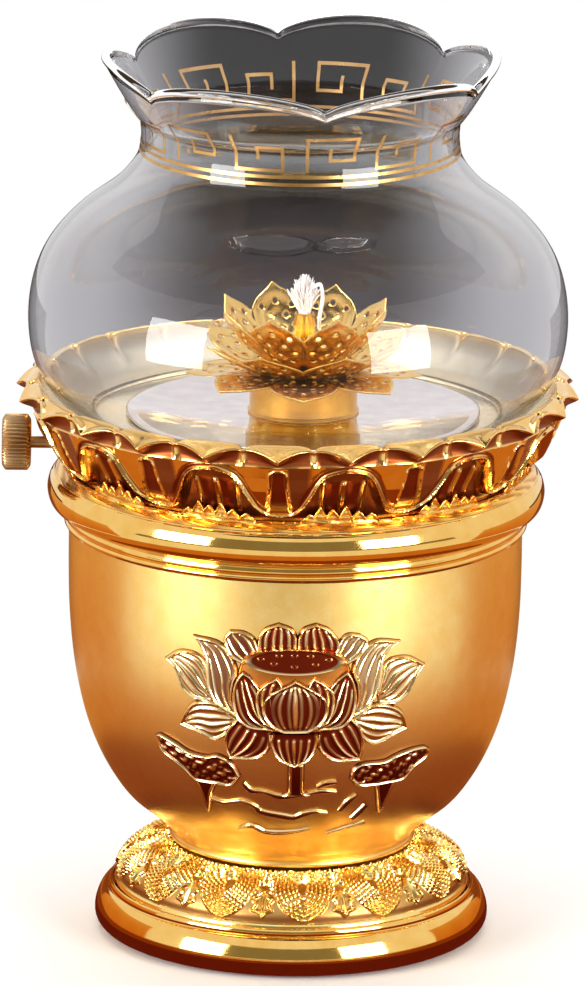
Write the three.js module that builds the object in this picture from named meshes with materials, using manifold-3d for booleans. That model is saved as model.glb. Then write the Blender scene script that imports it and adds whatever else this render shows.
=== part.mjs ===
// Lotus oil lamp: an altar lamp with a cast urn, a petal crown, a wick burner and a glass chimney.
// Millimetres, +Z up. The origin is on the axis, in the plane that the lamp stands on.
// Angles called azimuth start at the front (-Y) and grow towards the right (+X).
import * as THREE from "three";
import { mergeVertices } from "three/addons/utils/BufferGeometryUtils.js";
import Module from "manifold-3d";

// Driving dimensions
const SEAT_GAP = 0.3;
const SLIDE_GAP = 0.1;
const ROUND_STEPS = 36;
const SMALL_STEPS = 16;

const PAD_RADIUS = 37.6;
const PAD_THICKNESS = 1.2;
const FOOT_RADIUS = 44;
const FOOT_LIFT = 0.6;
const FOOT_LEDGE_Z = 9.6;
const DOME_RADIUS = 39.7;
const DOME_TOP_Z = 20.8;
const DOME_WALL = 1.9;

const BODY_BOTTOM_Z = DOME_TOP_Z + SEAT_GAP;
const BODY_TOP_Z = 93.1;
const BODY_RADIUS = 50.4;
const BODY_WALL = 2.2;
const BODY_FLOOR = 2.5;

const BOLT_RADIUS = 2.4;
const BOLT_HOLE = BOLT_RADIUS + SEAT_GAP;
const HEX_RADIUS = 4.6;
const BOLT_HEAD_HEIGHT = 3.2;
const WASHER_RADIUS = 8;
const WASHER_THICKNESS = 1.4;
const NUT_HEIGHT = 3.8;

const COLLAR_TOP_Z = 106.1;
const COLLAR_RADIUS = 55.3;
const COLLAR_BORE = 46.6;
const CUP_LEDGE_Z = 100;
const CUP_RADIUS = 42.6;
const CUP_FLANGE_RADIUS = 45.9;
const CUP_FLANGE = 2;
const CUP_BOTTOM_Z = 42;
const CUP_WALL = 1.6;

const CROWN_BOTTOM_Z = COLLAR_TOP_Z + SEAT_GAP;
const CROWN_FLANGE_RADIUS = 52.6;
const CROWN_TIPS = 24;
const LONG_PETALS = 12;
const LONG_PETAL_AZIMUTH = THREE.MathUtils.degToRad(-3.9);
const CROWN_STEPS = 3 * CROWN_TIPS;
const DISH_RADIUS = 47.8;
const DISH_Z = 117;
const DISH_HOLE_RADIUS = 30;
const DISH_UNDERSIDE_Z = 115.2;

const CHIMNEY_BOTTOM_Z = DISH_Z + SEAT_GAP;
const CHIMNEY_WALL = 1.6;
const RUFFLES = 6;
const CHIMNEY_STEPS = 6 * RUFFLES;
const RUFFLE_AZIMUTH = THREE.MathUtils.degToRad(7.7);
const RUFFLE_RADIUS = 44;
const RUFFLE_Z = 199.6;
const RUFFLE_NOTCH_RADIUS = 41.5;
const RUFFLE_NOTCH_Z = 195;
const NECK_Z = 185.5;
const NECK_RADIUS = 35.3;

const BURNER_X = 1.4;
const DECK_RADIUS = 39.7;
const DECK_BOTTOM_Z = DISH_Z + SEAT_GAP;
const DECK_TOP_Z = 118.7;
const BURNER_RADIUS = 12;
const BURNER_STEPS = 24;
const BURNER_BOTTOM_Z = DECK_TOP_Z + SEAT_GAP;
const BURNER_TOP_Z = 127.4;
const TUBE_RADIUS = 2.25;
const TUBE_BORE = 1.8;
const TUBE_BOTTOM_Z = 104;
const TUBE_TOP_Z = 141.6;
const TUBE_SHOULDER_Z = 116;
const SHEET = 0.5;

const WICK_RADIUS = 1.6;
const WICK_STEPS = 12;
const WICK_BOTTOM_Z = 50;
const TUFT_TOP_Z = 150.8;

const SPINDLE_RADIUS = 1.3;
const SPINDLE_Z = 112.2;
const WHEEL_RADIUS = 2.8;
const WHEEL_TEETH = 10;
const WHEEL_WIDTH = 2;
const WHEEL_TO_WICK = 0.15;
const SPINDLE_Y = -(WICK_RADIUS + WHEEL_TO_WICK + WHEEL_RADIUS);
const EAR_OFFSET = 6;
const EAR_THICKNESS = 1.2;
const KNOB_RADIUS = 6.25;
const KNOB_RIDGES = 28;
const KNOB_INNER_X = -58.8;
const KNOB_WIDTH = 6.4;
const KNOB_CHAMFER = 0.8;

const RELIEF_GAP = 0.3;
const RELIEF_THICKNESS = 1;

// Materials
const finish = (color, roughness, metalness) => new THREE.MeshStandardMaterial({ color, roughness, metalness });
const satinGold = finish(0xd9a23a, 0.38, 1);
const polishedGold = finish(0xe8b34a, 0.12, 1);
const brass = finish(0xc9973d, 0.25, 1);
const agedBrass = finish(0x9b7a4c, 0.42, 1);
const polishedSteel = finish(0xc9c6c8, 0.1, 1);
const zincSteel = finish(0xa9abad, 0.4, 1);
const felt = finish(0x1f3a2a, 0.95, 0);
const cotton = finish(0xf4efe8, 0.9, 0);
const clearGlass = new THREE.MeshStandardMaterial({
  color: 0xeef2f4,
  roughness: 0.04,
  metalness: 0,
  transparent: true,
  opacity: 0.3,
});

const wasm = await Module();
wasm.setup();

// Shape helpers
const vec = (radius, z) => new THREE.Vector2(radius, z);

function smooth(points, steps) {
  return new THREE.SplineCurve(points).getPoints(steps);
}

function arc(centreR, centreZ, radius, fromDeg, toDeg, steps) {
  const points = [];
  for (let i = 0; i <= steps; i++) {
    const angle = THREE.MathUtils.degToRad(fromDeg + ((toDeg - fromDeg) * i) / steps);
    points.push(vec(centreR + radius * Math.cos(angle), centreZ + radius * Math.sin(angle)));
  }
  return points;
}

// The line of points moved to its left by a distance, as seen walking along it.
function offset(points, distance) {
  return points.map((point, i) => {
    const before = points[Math.max(i - 1, 0)];
    const after = points[Math.min(i + 1, points.length - 1)];
    const along = after.clone().sub(before).normalize();
    return vec(point.x - along.y * distance, point.y + along.x * distance);
  });
}

function signedArea(points) {
  return points.reduce((sum, p, i) => {
    const next = points[(i + 1) % points.length];
    return sum + (p.x * next.y - next.x * p.y) / 2;
  }, 0);
}

// A solid of revolution about Z whose closed profile may change with the azimuth.
function revolve(profileAt, steps, start = 0) {
  const positions = [];
  const index = [];
  let count = 0;
  for (let i = 0; i < steps; i++) {
    const azimuth = start + (2 * Math.PI * i) / steps;
    const profile = profileAt(azimuth);
    const turned = signedArea(profile) < 0 ? [...profile].reverse() : profile;
    count = turned.length;
    for (const p of turned) {
      positions.push(p.x * Math.sin(azimuth), -p.x * Math.cos(azimuth), p.y);
    }
  }
  for (let i = 0; i < steps; i++) {
    for (let j = 0; j < count; j++) {
      const a = i * count + j;
      const b = i * count + ((j + 1) % count);
      const c = ((i + 1) % steps) * count + j;
      const d = ((i + 1) % steps) * count + ((j + 1) % count);
      index.push(a, c, b, b, c, d);
    }
  }
  const geometry = new THREE.BufferGeometry();
  geometry.setAttribute("position", new THREE.Float32BufferAttribute(positions, 3));
  geometry.setIndex(index);
  return geometry;
}

const ring = (points, steps = ROUND_STEPS) => revolve(() => points, steps);

// A solid that reaches its own axis: its profile runs from the axis to the axis.
function turned(points, steps = ROUND_STEPS) {
  const rising = signedArea(points) > 0 ? points : [...points].reverse();
  return new THREE.LatheGeometry(rising, steps).rotateX(Math.PI / 2);
}

function bar(radius, length, steps = SMALL_STEPS) {
  return new THREE.CylinderGeometry(radius, radius, length, steps);
}

function solidOf(geometry) {
  const source = geometry.clone();
  source.deleteAttribute("normal");
  source.deleteAttribute("uv");
  const merged = mergeVertices(source, 1e-4);
  return new wasm.Manifold(
    new wasm.Mesh({
      numProp: 3,
      vertProperties: merged.attributes.position.array,
      triVerts: new Uint32Array(merged.index.array),
    }),
  );
}

function geometryOf(solid) {
  const mesh = solid.getMesh();
  const geometry = new THREE.BufferGeometry();
  geometry.setAttribute("position", new THREE.BufferAttribute(mesh.vertProperties, 3));
  geometry.setIndex(new THREE.BufferAttribute(mesh.triVerts, 1));
  return geometry;
}

const cut = (geometry, tool) => geometryOf(solidOf(geometry).subtract(solidOf(tool)));
const join = (geometry, other) => geometryOf(solidOf(geometry).add(solidOf(other)));
const common = (geometry, other) => geometryOf(solidOf(geometry).intersect(solidOf(other)));

function extruded(outline, depth, bevel = 0) {
  return new THREE.ExtrudeGeometry(outline, {
    depth,
    steps: 1,
    curveSegments: 6,
    bevelEnabled: bevel > 0,
    bevelThickness: bevel,
    bevelSize: bevel,
    bevelOffset: -bevel,
    bevelSegments: 1,
  });
}

function toothed(count, tip, root) {
  const shape = new THREE.Shape();
  for (let i = 0; i < 2 * count; i++) {
    const radius = i % 2 ? root : tip;
    const angle = (Math.PI * i) / count;
    shape[i ? "lineTo" : "moveTo"](radius * Math.cos(angle), radius * Math.sin(angle));
  }
  shape.closePath();
  return shape;
}

function hexagon(radius, hole = 0) {
  const shape = toothed(3, radius, radius);
  if (hole > 0) {
    shape.holes.push(new THREE.Path().absarc(0, 0, hole, 0, 2 * Math.PI, true));
  }
  return shape;
}

function node(name, geometry, material) {
  const mesh = new THREE.Mesh(geometry, material);
  mesh.name = name;
  return mesh;
}

// Foot
function feltPad() {
  const points = [vec(0, 0), vec(PAD_RADIUS, 0), vec(PAD_RADIUS, PAD_THICKNESS), vec(0, PAD_THICKNESS)];
  return node("felt_pad", turned(points), felt);
}

function footRing() {
  const underFillet = 3.4;
  const shoulder = 4.6;
  const points = [
    vec(PAD_RADIUS + 0.4, FOOT_LIFT),
    ...arc(FOOT_RADIUS - underFillet, FOOT_LIFT + underFillet, underFillet, -90, 0, 3),
    ...arc(FOOT_RADIUS - shoulder, 6.4, shoulder, 0, 68, 3),
    vec(DOME_RADIUS + 0.4, 10.9),
    vec(DOME_RADIUS + 0.4, FOOT_LEDGE_Z),
    vec(34, FOOT_LEDGE_Z),
    vec(34, 8),
    vec(PAD_RADIUS + 0.4, 3.2),
  ];
  return node("foot_ring", ring(points), polishedGold);
}

function footDome() {
  const bottom = FOOT_LEDGE_Z + SEAT_GAP;
  const outer = smooth(
    [vec(DOME_RADIUS, bottom), vec(39.6, 13), vec(37.9, 16.5), vec(34, 18.9), vec(26, DOME_TOP_Z)],
    6,
  );
  const inner = offset(outer, DOME_WALL).reverse();
  inner[inner.length - 1].y = bottom;
  inner[0].y = DOME_TOP_Z - DOME_WALL;
  const points = [...outer, vec(BOLT_HOLE, DOME_TOP_Z), vec(BOLT_HOLE, DOME_TOP_Z - DOME_WALL), ...inner];
  return node("foot_dome", ring(points), polishedGold);
}

function footFasteners() {
  const group = new THREE.Group();
  const washerTop = DOME_TOP_Z - DOME_WALL - SEAT_GAP;
  const washerBottom = washerTop - WASHER_THICKNESS;
  const washerPoints = [
    vec(BOLT_HOLE, washerBottom),
    vec(WASHER_RADIUS, washerBottom),
    vec(WASHER_RADIUS, washerTop),
    vec(BOLT_HOLE, washerTop),
  ];
  group.add(node("foot_washer", ring(washerPoints, SMALL_STEPS), zincSteel));

  const nutBottom = BODY_BOTTOM_Z + BODY_FLOOR + SEAT_GAP;
  const nut = node("foot_nut", extruded(hexagon(HEX_RADIUS, BOLT_RADIUS + SLIDE_GAP), NUT_HEIGHT), zincSteel);
  nut.position.z = nutBottom;
  group.add(nut);

  const headBottom = washerBottom - SEAT_GAP - BOLT_HEAD_HEIGHT;
  const shankLength = nutBottom + NUT_HEIGHT + 2 - headBottom;
  const shank = bar(BOLT_RADIUS, shankLength).rotateX(Math.PI / 2);
  shank.translate(0, 0, shankLength / 2);
  const bolt = node("foot_bolt", join(extruded(hexagon(HEX_RADIUS), BOLT_HEAD_HEIGHT), shank), zincSteel);
  bolt.position.z = headBottom;
  group.add(bolt);
  return group;
}

// Urn
function urnOutline() {
  return [
    vec(27.4, BODY_BOTTOM_Z),
    vec(27.5, 22.6),
    ...smooth(
      [
        vec(27.2, 23.6),
        vec(32.1, 28),
        vec(36.9, 32),
        vec(40.6, 37),
        vec(43.8, 43),
        vec(46.4, 50),
        vec(48.3, 58),
        vec(49.5, 66),
        vec(50.2, 75),
        vec(BODY_RADIUS, 84),
        vec(BODY_RADIUS, BODY_TOP_Z),
      ],
      8,
    ),
  ];
}

function bodyShell() {
  const outer = urnOutline();
  const floorZ = BODY_BOTTOM_Z + BODY_FLOOR;
  const wall = offset(outer, BODY_WALL).filter((p) => p.y > floorZ + 1.5);
  wall[wall.length - 1].y = BODY_TOP_Z;
  const points = [
    vec(BOLT_HOLE, BODY_BOTTOM_Z),
    ...outer,
    ...wall.reverse(),
    vec(24, floorZ),
    vec(BOLT_HOLE, floorZ),
  ];
  return node("body_shell", ring(points), satinGold);
}

function collarRing() {
  const plugRadius = BODY_RADIUS - BODY_WALL - 0.4;
  const points = [
    vec(BODY_RADIUS + 0.5, BODY_TOP_Z + SEAT_GAP),
    vec(51.5, 94),
    vec(51.5, 96.2),
    vec(51.2, 96.9),
    ...smooth([vec(52.4, 97.3), vec(54.6, 99), vec(COLLAR_RADIUS, 101.3), vec(54.7, 103.8), vec(53, 105.7)], 5),
    vec(CROWN_FLANGE_RADIUS, COLLAR_TOP_Z),
    vec(COLLAR_BORE, COLLAR_TOP_Z),
    vec(COLLAR_BORE, CUP_LEDGE_Z),
    vec(43.2, CUP_LEDGE_Z),
    vec(43.2, 98.2),
    vec(plugRadius - 1.6, 95),
    vec(plugRadius - 1.6, 90),
    vec(plugRadius, 90),
    vec(plugRadius, BODY_TOP_Z + SEAT_GAP),
  ];
  return node("collar_ring", ring(points), polishedGold);
}

function oilCup() {
  const rimBottom = CUP_LEDGE_Z + SEAT_GAP;
  const rimTop = rimBottom + CUP_FLANGE;
  const footRadius = 35.5;
  const points = [
    vec(0, CUP_BOTTOM_Z),
    vec(footRadius - 3, CUP_BOTTOM_Z),
    vec(footRadius, CUP_BOTTOM_Z + 3),
    vec(CUP_RADIUS, rimBottom),
    vec(CUP_FLANGE_RADIUS, rimBottom),
    vec(CUP_FLANGE_RADIUS, rimTop),
    vec(CUP_RADIUS - CUP_WALL, rimTop),
    vec(footRadius - CUP_WALL, CUP_BOTTOM_Z + 4.2),
    vec(footRadius - 4, CUP_BOTTOM_Z + 2),
    vec(0, CUP_BOTTOM_Z + 2),
  ];
  return node("oil_cup", turned(points), clearGlass);
}

// Raised ornament on the urn: an outline seen from the front, carried back onto the curved wall.
const LOTUS_HALF = [
  [0, 82.6],
  [3.6, 84.5],
  [8.7, 80.6],
  [14.6, 82],
  [16.4, 79.3],
  [22.9, 79.3],
  [21.6, 75.3],
  [29, 73.6],
  [27.4, 68],
  [22.9, 65],
  [25.5, 59.7],
  [18.3, 56.2],
  [15.9, 56.7],
  [14.6, 52.5],
  [6.8, 53.9],
  [3.6, 51.6],
  [1.6, 51],
  [1.6, 42.9],
];
const LEFT_LEAF = [
  [-31, 54.9],
  [-24.1, 51.6],
  [-18.8, 50.5],
  [-14.6, 49.4],
  [-12.8, 46.3],
  [-18.3, 44.7],
  [-20.2, 42.2],
  [-19.2, 37.6],
  [-22, 41.4],
  [-28.2, 48],
];
const RIGHT_LEAF = [
  [29.3, 52],
  [25, 50.4],
  [20.3, 51],
  [15.8, 50.5],
  [12.4, 47.4],
  [12.8, 45.4],
  [17, 44.3],
  [19, 41.7],
  [18.2, 37.7],
  [20.6, 41.5],
  [25.2, 46.8],
  [29.8, 50.3],
];

function reliefPlate(outline) {
  const prism = extruded(new THREE.Shape(outline.map(([x, z]) => vec(x, z))), 60);
  prism.rotateX(Math.PI / 2);
  const wall = urnOutline().filter((p) => p.y > 30 && p.y < 90);
  const skin = [...offset(wall, -RELIEF_GAP - RELIEF_THICKNESS), ...offset(wall, -RELIEF_GAP).reverse()];
  return common(ring(skin), prism);
}

function reliefs() {
  const group = new THREE.Group();
  const mirrored = LOTUS_HALF.slice(1).map(([x, z]) => [-x, z]);
  const lotus = [...[...LOTUS_HALF].reverse(), ...mirrored];
  const plates = [
    ["lotus_relief", reliefPlate(lotus)],
    ["leaf_relief_left", reliefPlate(LEFT_LEAF)],
    ["leaf_relief_right", reliefPlate(RIGHT_LEAF)],
  ];
  for (const [name, geometry] of plates) {
    group.add(node(name, geometry, polishedGold));
  }
  return group;
}

// Lamp head
// Upper part of the crown, from the wall under the rim over to the dish: radius and height at the
// middle of a curled petal tip, and at the notch between two tips.
const RIM_AT_TIP = [
  [57.4, 117.6],
  [59.7, 118.5],
  [62.2, 120.2],
  [63, 121.6],
  [61.6, 124],
  [59, 124.7],
  [56.2, 123.4],
];
const RIM_AT_NOTCH = [
  [57, 118.2],
  [58, 120.4],
  [59.2, 121],
  [59.8, 121.9],
  [59, 123.3],
  [57.8, 123.6],
  [55.8, 122.6],
];

function petalCrown() {
  const profileAt = (azimuth) => {
    const turn = azimuth - LONG_PETAL_AZIMUTH;
    const tip = Math.pow(Math.abs(Math.cos((CROWN_TIPS / 2) * turn)), 1.5);
    const long = 0.5 + 0.5 * Math.cos(LONG_PETALS * turn);
    const rim = RIM_AT_NOTCH.map(([radius, z], i) =>
      vec(
        THREE.MathUtils.lerp(radius, RIM_AT_TIP[i][0], tip),
        THREE.MathUtils.lerp(z, RIM_AT_TIP[i][1], tip),
      ),
    );
    return [
      vec(44.9, 102.8),
      vec(COLLAR_BORE - 0.3, 102.8),
      vec(COLLAR_BORE - 0.3, CROWN_BOTTOM_Z),
      vec(CROWN_FLANGE_RADIUS, CROWN_BOTTOM_Z),
      vec(CROWN_FLANGE_RADIUS, CROWN_BOTTOM_Z + 1),
      vec(50.1 + 1.2 * long, 108.4),
      vec(51.6 + 2.4 * long, 111.4),
      vec(53.8 + 2.4 * long, 115.2),
      ...rim,
      vec(DISH_RADIUS, DISH_Z),
      vec(DISH_HOLE_RADIUS, DISH_Z),
      vec(DISH_HOLE_RADIUS, DISH_UNDERSIDE_Z),
      vec(51.4, DISH_UNDERSIDE_Z),
      vec(49.2, 111.6),
      vec(44.9, 107.6),
    ];
  };
  const hole = bar(SPINDLE_RADIUS + 0.5, 20).rotateZ(Math.PI / 2);
  hole.translate(-52, SPINDLE_Y, SPINDLE_Z);
  const crown = revolve(profileAt, CROWN_STEPS, LONG_PETAL_AZIMUTH);
  return node("petal_crown", cut(crown, hole), polishedGold);
}

function deckPlate() {
  const points = [
    vec(TUBE_RADIUS + SEAT_GAP, DECK_BOTTOM_Z),
    vec(DECK_RADIUS - 0.5, DECK_BOTTOM_Z),
    vec(DECK_RADIUS, DECK_BOTTOM_Z + 0.5),
    vec(DECK_RADIUS - 0.7, DECK_TOP_Z),
    vec(TUBE_RADIUS + SEAT_GAP, DECK_TOP_Z),
  ];
  return node("deck_plate", ring(points), polishedSteel);
}

function burnerCup() {
  const wall = 0.8;
  const points = [
    vec(BURNER_RADIUS - wall, BURNER_BOTTOM_Z),
    vec(BURNER_RADIUS + 0.5, BURNER_BOTTOM_Z),
    vec(BURNER_RADIUS + 0.5, BURNER_BOTTOM_Z + 0.7),
    vec(BURNER_RADIUS, BURNER_BOTTOM_Z + 1.1),
    vec(BURNER_RADIUS, BURNER_TOP_Z - 0.6),
    vec(BURNER_RADIUS - 0.6, BURNER_TOP_Z),
    vec(TUBE_RADIUS + SEAT_GAP, BURNER_TOP_Z),
    vec(TUBE_RADIUS + SEAT_GAP, BURNER_TOP_Z - wall),
    vec(BURNER_RADIUS - wall, BURNER_TOP_Z - wall),
  ];
  return node("burner_cup", ring(points, BURNER_STEPS), brass);
}

function burnerNut() {
  const nut = node("burner_nut", extruded(hexagon(HEX_RADIUS, TUBE_RADIUS + SLIDE_GAP), 2.6), brass);
  nut.position.z = DECK_TOP_Z + SEAT_GAP;
  return nut;
}

// The wick tube has a shoulder under its bracket, and a slot where the star wheel reaches the wick.
function wickTube() {
  const points = [
    vec(TUBE_BORE, TUBE_BOTTOM_Z),
    vec(TUBE_RADIUS, TUBE_BOTTOM_Z),
    vec(TUBE_RADIUS, TUBE_SHOULDER_Z - 0.9),
    vec(TUBE_RADIUS + 0.75, TUBE_SHOULDER_Z - 0.7),
    vec(TUBE_RADIUS + 0.75, TUBE_SHOULDER_Z),
    vec(TUBE_RADIUS, TUBE_SHOULDER_Z),
    vec(TUBE_RADIUS, TUBE_TOP_Z - 0.3),
    vec(TUBE_RADIUS - 0.2, TUBE_TOP_Z),
    vec(TUBE_BORE, TUBE_TOP_Z),
  ];
  const slot = new THREE.BoxGeometry(WHEEL_WIDTH + 0.8, 1.4, 4.6);
  slot.translate(0, -TUBE_RADIUS, SPINDLE_Z);
  return node("wick_tube", cut(ring(points, SMALL_STEPS), slot), brass);
}

function winderBracket() {
  const plateDepth = 11;
  const top = DECK_BOTTOM_Z - SEAT_GAP;
  const plate = new THREE.BoxGeometry(2 * EAR_OFFSET + EAR_THICKNESS, plateDepth, 0.7);
  plate.translate(0, -2.5, top - 0.35);
  const earHeight = 7.6;
  let bracket = plate;
  for (const side of [-1, 1]) {
    const ear = new THREE.BoxGeometry(EAR_THICKNESS, 6, earHeight);
    ear.translate(side * EAR_OFFSET, SPINDLE_Y, top - earHeight / 2);
    bracket = join(bracket, ear);
  }
  const tubeHole = bar(TUBE_RADIUS + SEAT_GAP, 4).rotateX(Math.PI / 2);
  tubeHole.translate(0, 0, top);
  const spindleHole = bar(SPINDLE_RADIUS + SLIDE_GAP, 20).rotateZ(Math.PI / 2);
  spindleHole.translate(0, SPINDLE_Y, SPINDLE_Z);
  return node("winder_bracket", cut(cut(bracket, tubeHole), spindleHole), brass);
}

// A stamped flower ring: a washer whose petals follow one bent centre line and end in a point.
function flowerRing(name, washerZ, bend, petals, phase) {
  const hole = vec(TUBE_RADIUS + SEAT_GAP, washerZ);
  const petal = new THREE.SplineCurve([vec(6, washerZ), ...bend]);
  const profileAt = (azimuth) => {
    const across = Math.abs(Math.sin((petals / 2) * (azimuth - phase)));
    const reach = 1 - 0.12 * across - 0.4 * Math.pow(across, 4);
    const upper = [hole, ...[0, 0.4, 0.7, 1].map((t) => petal.getPoint(t * reach))];
    return [...upper, ...offset(upper, -SHEET).reverse()];
  };
  return node(name, revolve(profileAt, 6 * petals, phase), brass);
}

function flower() {
  const group = new THREE.Group();
  const petals = 8;
  const half = Math.PI / petals;
  const pitch = SHEET + SEAT_GAP;
  const lowest = BURNER_TOP_Z + SEAT_GAP + SHEET;
  const lowerBend = [vec(13, lowest + 0.2), vec(20, lowest + 0.4), vec(26, lowest - 0.6)];
  const middleBend = [vec(13, 130.6), vec(19, 132.6), vec(25, 134.4)];
  const upperBend = [vec(11, 132.6), vec(16, 138), vec(19.6, 144)];
  group.add(flowerRing("petal_ring_lower", lowest, lowerBend, petals, 0));
  group.add(flowerRing("petal_ring_middle", lowest + pitch, middleBend, petals, half));
  group.add(flowerRing("petal_ring_upper", lowest + 2 * pitch, upperBend, petals, half));
  const lockBottom = lowest + 2 * pitch + SEAT_GAP;
  const lock = [
    vec(TUBE_RADIUS + SLIDE_GAP, lockBottom),
    vec(4.2, lockBottom),
    vec(3.8, lockBottom + 1.6),
    vec(TUBE_RADIUS + SLIDE_GAP, lockBottom + 1.6),
  ];
  group.add(node("flower_lock_ring", ring(lock, SMALL_STEPS), brass));
  return group;
}

// Winder and wick
function winder() {
  const group = new THREE.Group();
  group.position.set(0, SPINDLE_Y, SPINDLE_Z);
  const right = BURNER_X + EAR_OFFSET + EAR_THICKNESS / 2;
  const spindleEnd = right + 2.2;
  const spindleStart = KNOB_INNER_X - KNOB_WIDTH + 1.6;
  const spindle = bar(SPINDLE_RADIUS, spindleEnd - spindleStart).rotateZ(Math.PI / 2);
  spindle.translate((spindleStart + spindleEnd) / 2, 0, 0);
  group.add(node("spindle", spindle, agedBrass));

  const wheel = extruded(toothed(WHEEL_TEETH, WHEEL_RADIUS, 2.1), WHEEL_WIDTH).rotateY(Math.PI / 2);
  wheel.translate(BURNER_X - WHEEL_WIDTH / 2, 0, 0);
  const bore = bar(SPINDLE_RADIUS + SLIDE_GAP, 8).rotateZ(Math.PI / 2);
  bore.translate(BURNER_X, 0, 0);
  group.add(node("star_wheel", cut(wheel, bore), brass));

  const clip = ring(
    [
      vec(SPINDLE_RADIUS + SLIDE_GAP, 0),
      vec(2.3, 0),
      vec(2.3, 0.7),
      vec(SPINDLE_RADIUS + SLIDE_GAP, 0.7),
    ],
    SMALL_STEPS,
  ).rotateY(Math.PI / 2);
  clip.translate(right + SEAT_GAP, 0, 0);
  group.add(node("spindle_clip", clip, zincSteel));

  const ridged = toothed(KNOB_RIDGES, KNOB_RADIUS, KNOB_RADIUS - 0.45);
  const knob = extruded(ridged, KNOB_WIDTH - 2 * KNOB_CHAMFER, KNOB_CHAMFER).rotateY(-Math.PI / 2);
  knob.translate(KNOB_INNER_X - KNOB_CHAMFER, 0, 0);
  const socket = bar(SPINDLE_RADIUS + SLIDE_GAP, KNOB_WIDTH - 1.2 + 4).rotateZ(Math.PI / 2);
  socket.translate(KNOB_INNER_X + 4 - (KNOB_WIDTH - 1.2 + 4) / 2, 0, 0);
  group.add(node("wick_knob", cut(knob, socket), agedBrass));
  return group;
}

function wick() {
  const stemTop = TUBE_TOP_Z + 0.4;
  const points = [
    vec(0, WICK_BOTTOM_Z),
    vec(WICK_RADIUS, WICK_BOTTOM_Z),
    vec(WICK_RADIUS, stemTop),
    ...smooth([vec(2.2, stemTop + 0.4), vec(4.1, stemTop + 2.6), vec(4.4, stemTop + 5), vec(2.6, TUFT_TOP_Z - 1)], 6),
    vec(0, TUFT_TOP_Z),
  ];
  return node("wick", turned(points, WICK_STEPS), cotton);
}

// Chimney
function glassChimney() {
  const belly = smooth(
    [
      vec(47.4, CHIMNEY_BOTTOM_Z + 1.6),
      vec(54, 123.9),
      vec(58.3, 131),
      vec(59.7, 140),
      vec(58.7, 149),
      vec(55.6, 156.5),
      vec(49.6, 163.5),
      vec(41.2, 170),
      vec(36.3, 176),
      vec(35.1, 181),
      vec(NECK_RADIUS, NECK_Z),
    ],
    14,
  );
  const profileAt = (azimuth) => {
    const lobe = Math.pow(Math.abs(Math.sin((RUFFLES / 2) * (azimuth - RUFFLE_AZIMUTH))), 0.6);
    const rimRadius = THREE.MathUtils.lerp(RUFFLE_NOTCH_RADIUS, RUFFLE_RADIUS, lobe);
    const rimZ = THREE.MathUtils.lerp(RUFFLE_NOTCH_Z, RUFFLE_Z, lobe);
    const flare = [0.35, 0.7, 1].map((t) =>
      vec(
        THREE.MathUtils.lerp(NECK_RADIUS, rimRadius, Math.pow(t, 0.85)),
        THREE.MathUtils.lerp(NECK_Z, rimZ, t),
      ),
    );
    const outer = [vec(47.2, CHIMNEY_BOTTOM_Z), ...belly, ...flare];
    const inner = offset(outer, CHIMNEY_WALL);
    inner[0].y = CHIMNEY_BOTTOM_Z;
    return [...outer, ...inner.reverse()];
  };
  return node("glass_chimney", revolve(profileAt, CHIMNEY_STEPS, RUFFLE_AZIMUTH), clearGlass);
}

const lamp = new THREE.Group();
lamp.add(feltPad(), footRing(), footDome(), footFasteners());
lamp.add(bodyShell(), collarRing(), oilCup(), reliefs());
lamp.add(petalCrown(), winder(), glassChimney());

const burner = new THREE.Group();
burner.position.x = BURNER_X;
burner.add(deckPlate(), burnerCup(), burnerNut(), wickTube(), winderBracket(), flower(), wick());
lamp.add(burner);

export default lamp;
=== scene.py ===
# Lotus oil lamp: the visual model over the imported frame.
# Shapes are written in millimetres in the frame of the solids: +Z up, the front faces -Y.
# Angles called azimuth start at the front and grow towards +X.
import math
import random

import bmesh
import bpy
import numpy as np
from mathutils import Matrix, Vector
from mathutils.geometry import delaunay_2d_cdt

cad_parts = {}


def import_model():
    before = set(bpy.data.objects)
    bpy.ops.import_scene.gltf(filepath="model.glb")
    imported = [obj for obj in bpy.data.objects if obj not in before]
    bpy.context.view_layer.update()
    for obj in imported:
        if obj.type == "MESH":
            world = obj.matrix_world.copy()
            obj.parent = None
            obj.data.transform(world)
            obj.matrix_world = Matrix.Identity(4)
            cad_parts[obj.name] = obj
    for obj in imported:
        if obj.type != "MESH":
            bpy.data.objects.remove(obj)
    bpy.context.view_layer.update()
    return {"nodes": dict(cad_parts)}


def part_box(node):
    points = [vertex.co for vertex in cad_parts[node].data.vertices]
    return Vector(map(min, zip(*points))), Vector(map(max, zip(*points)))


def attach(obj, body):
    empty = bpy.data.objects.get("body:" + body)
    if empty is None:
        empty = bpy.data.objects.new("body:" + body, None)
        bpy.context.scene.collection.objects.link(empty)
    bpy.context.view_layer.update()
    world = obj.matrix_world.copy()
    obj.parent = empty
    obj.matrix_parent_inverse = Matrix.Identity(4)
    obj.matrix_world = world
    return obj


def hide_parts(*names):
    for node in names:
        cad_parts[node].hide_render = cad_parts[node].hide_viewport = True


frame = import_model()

MM = 0.001
TURN = 2 * math.pi


# Sizes taken from the solids
def low(node, axis):
    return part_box(node)[0][axis] / MM


def high(node, axis):
    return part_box(node)[1][axis] / MM


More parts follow.
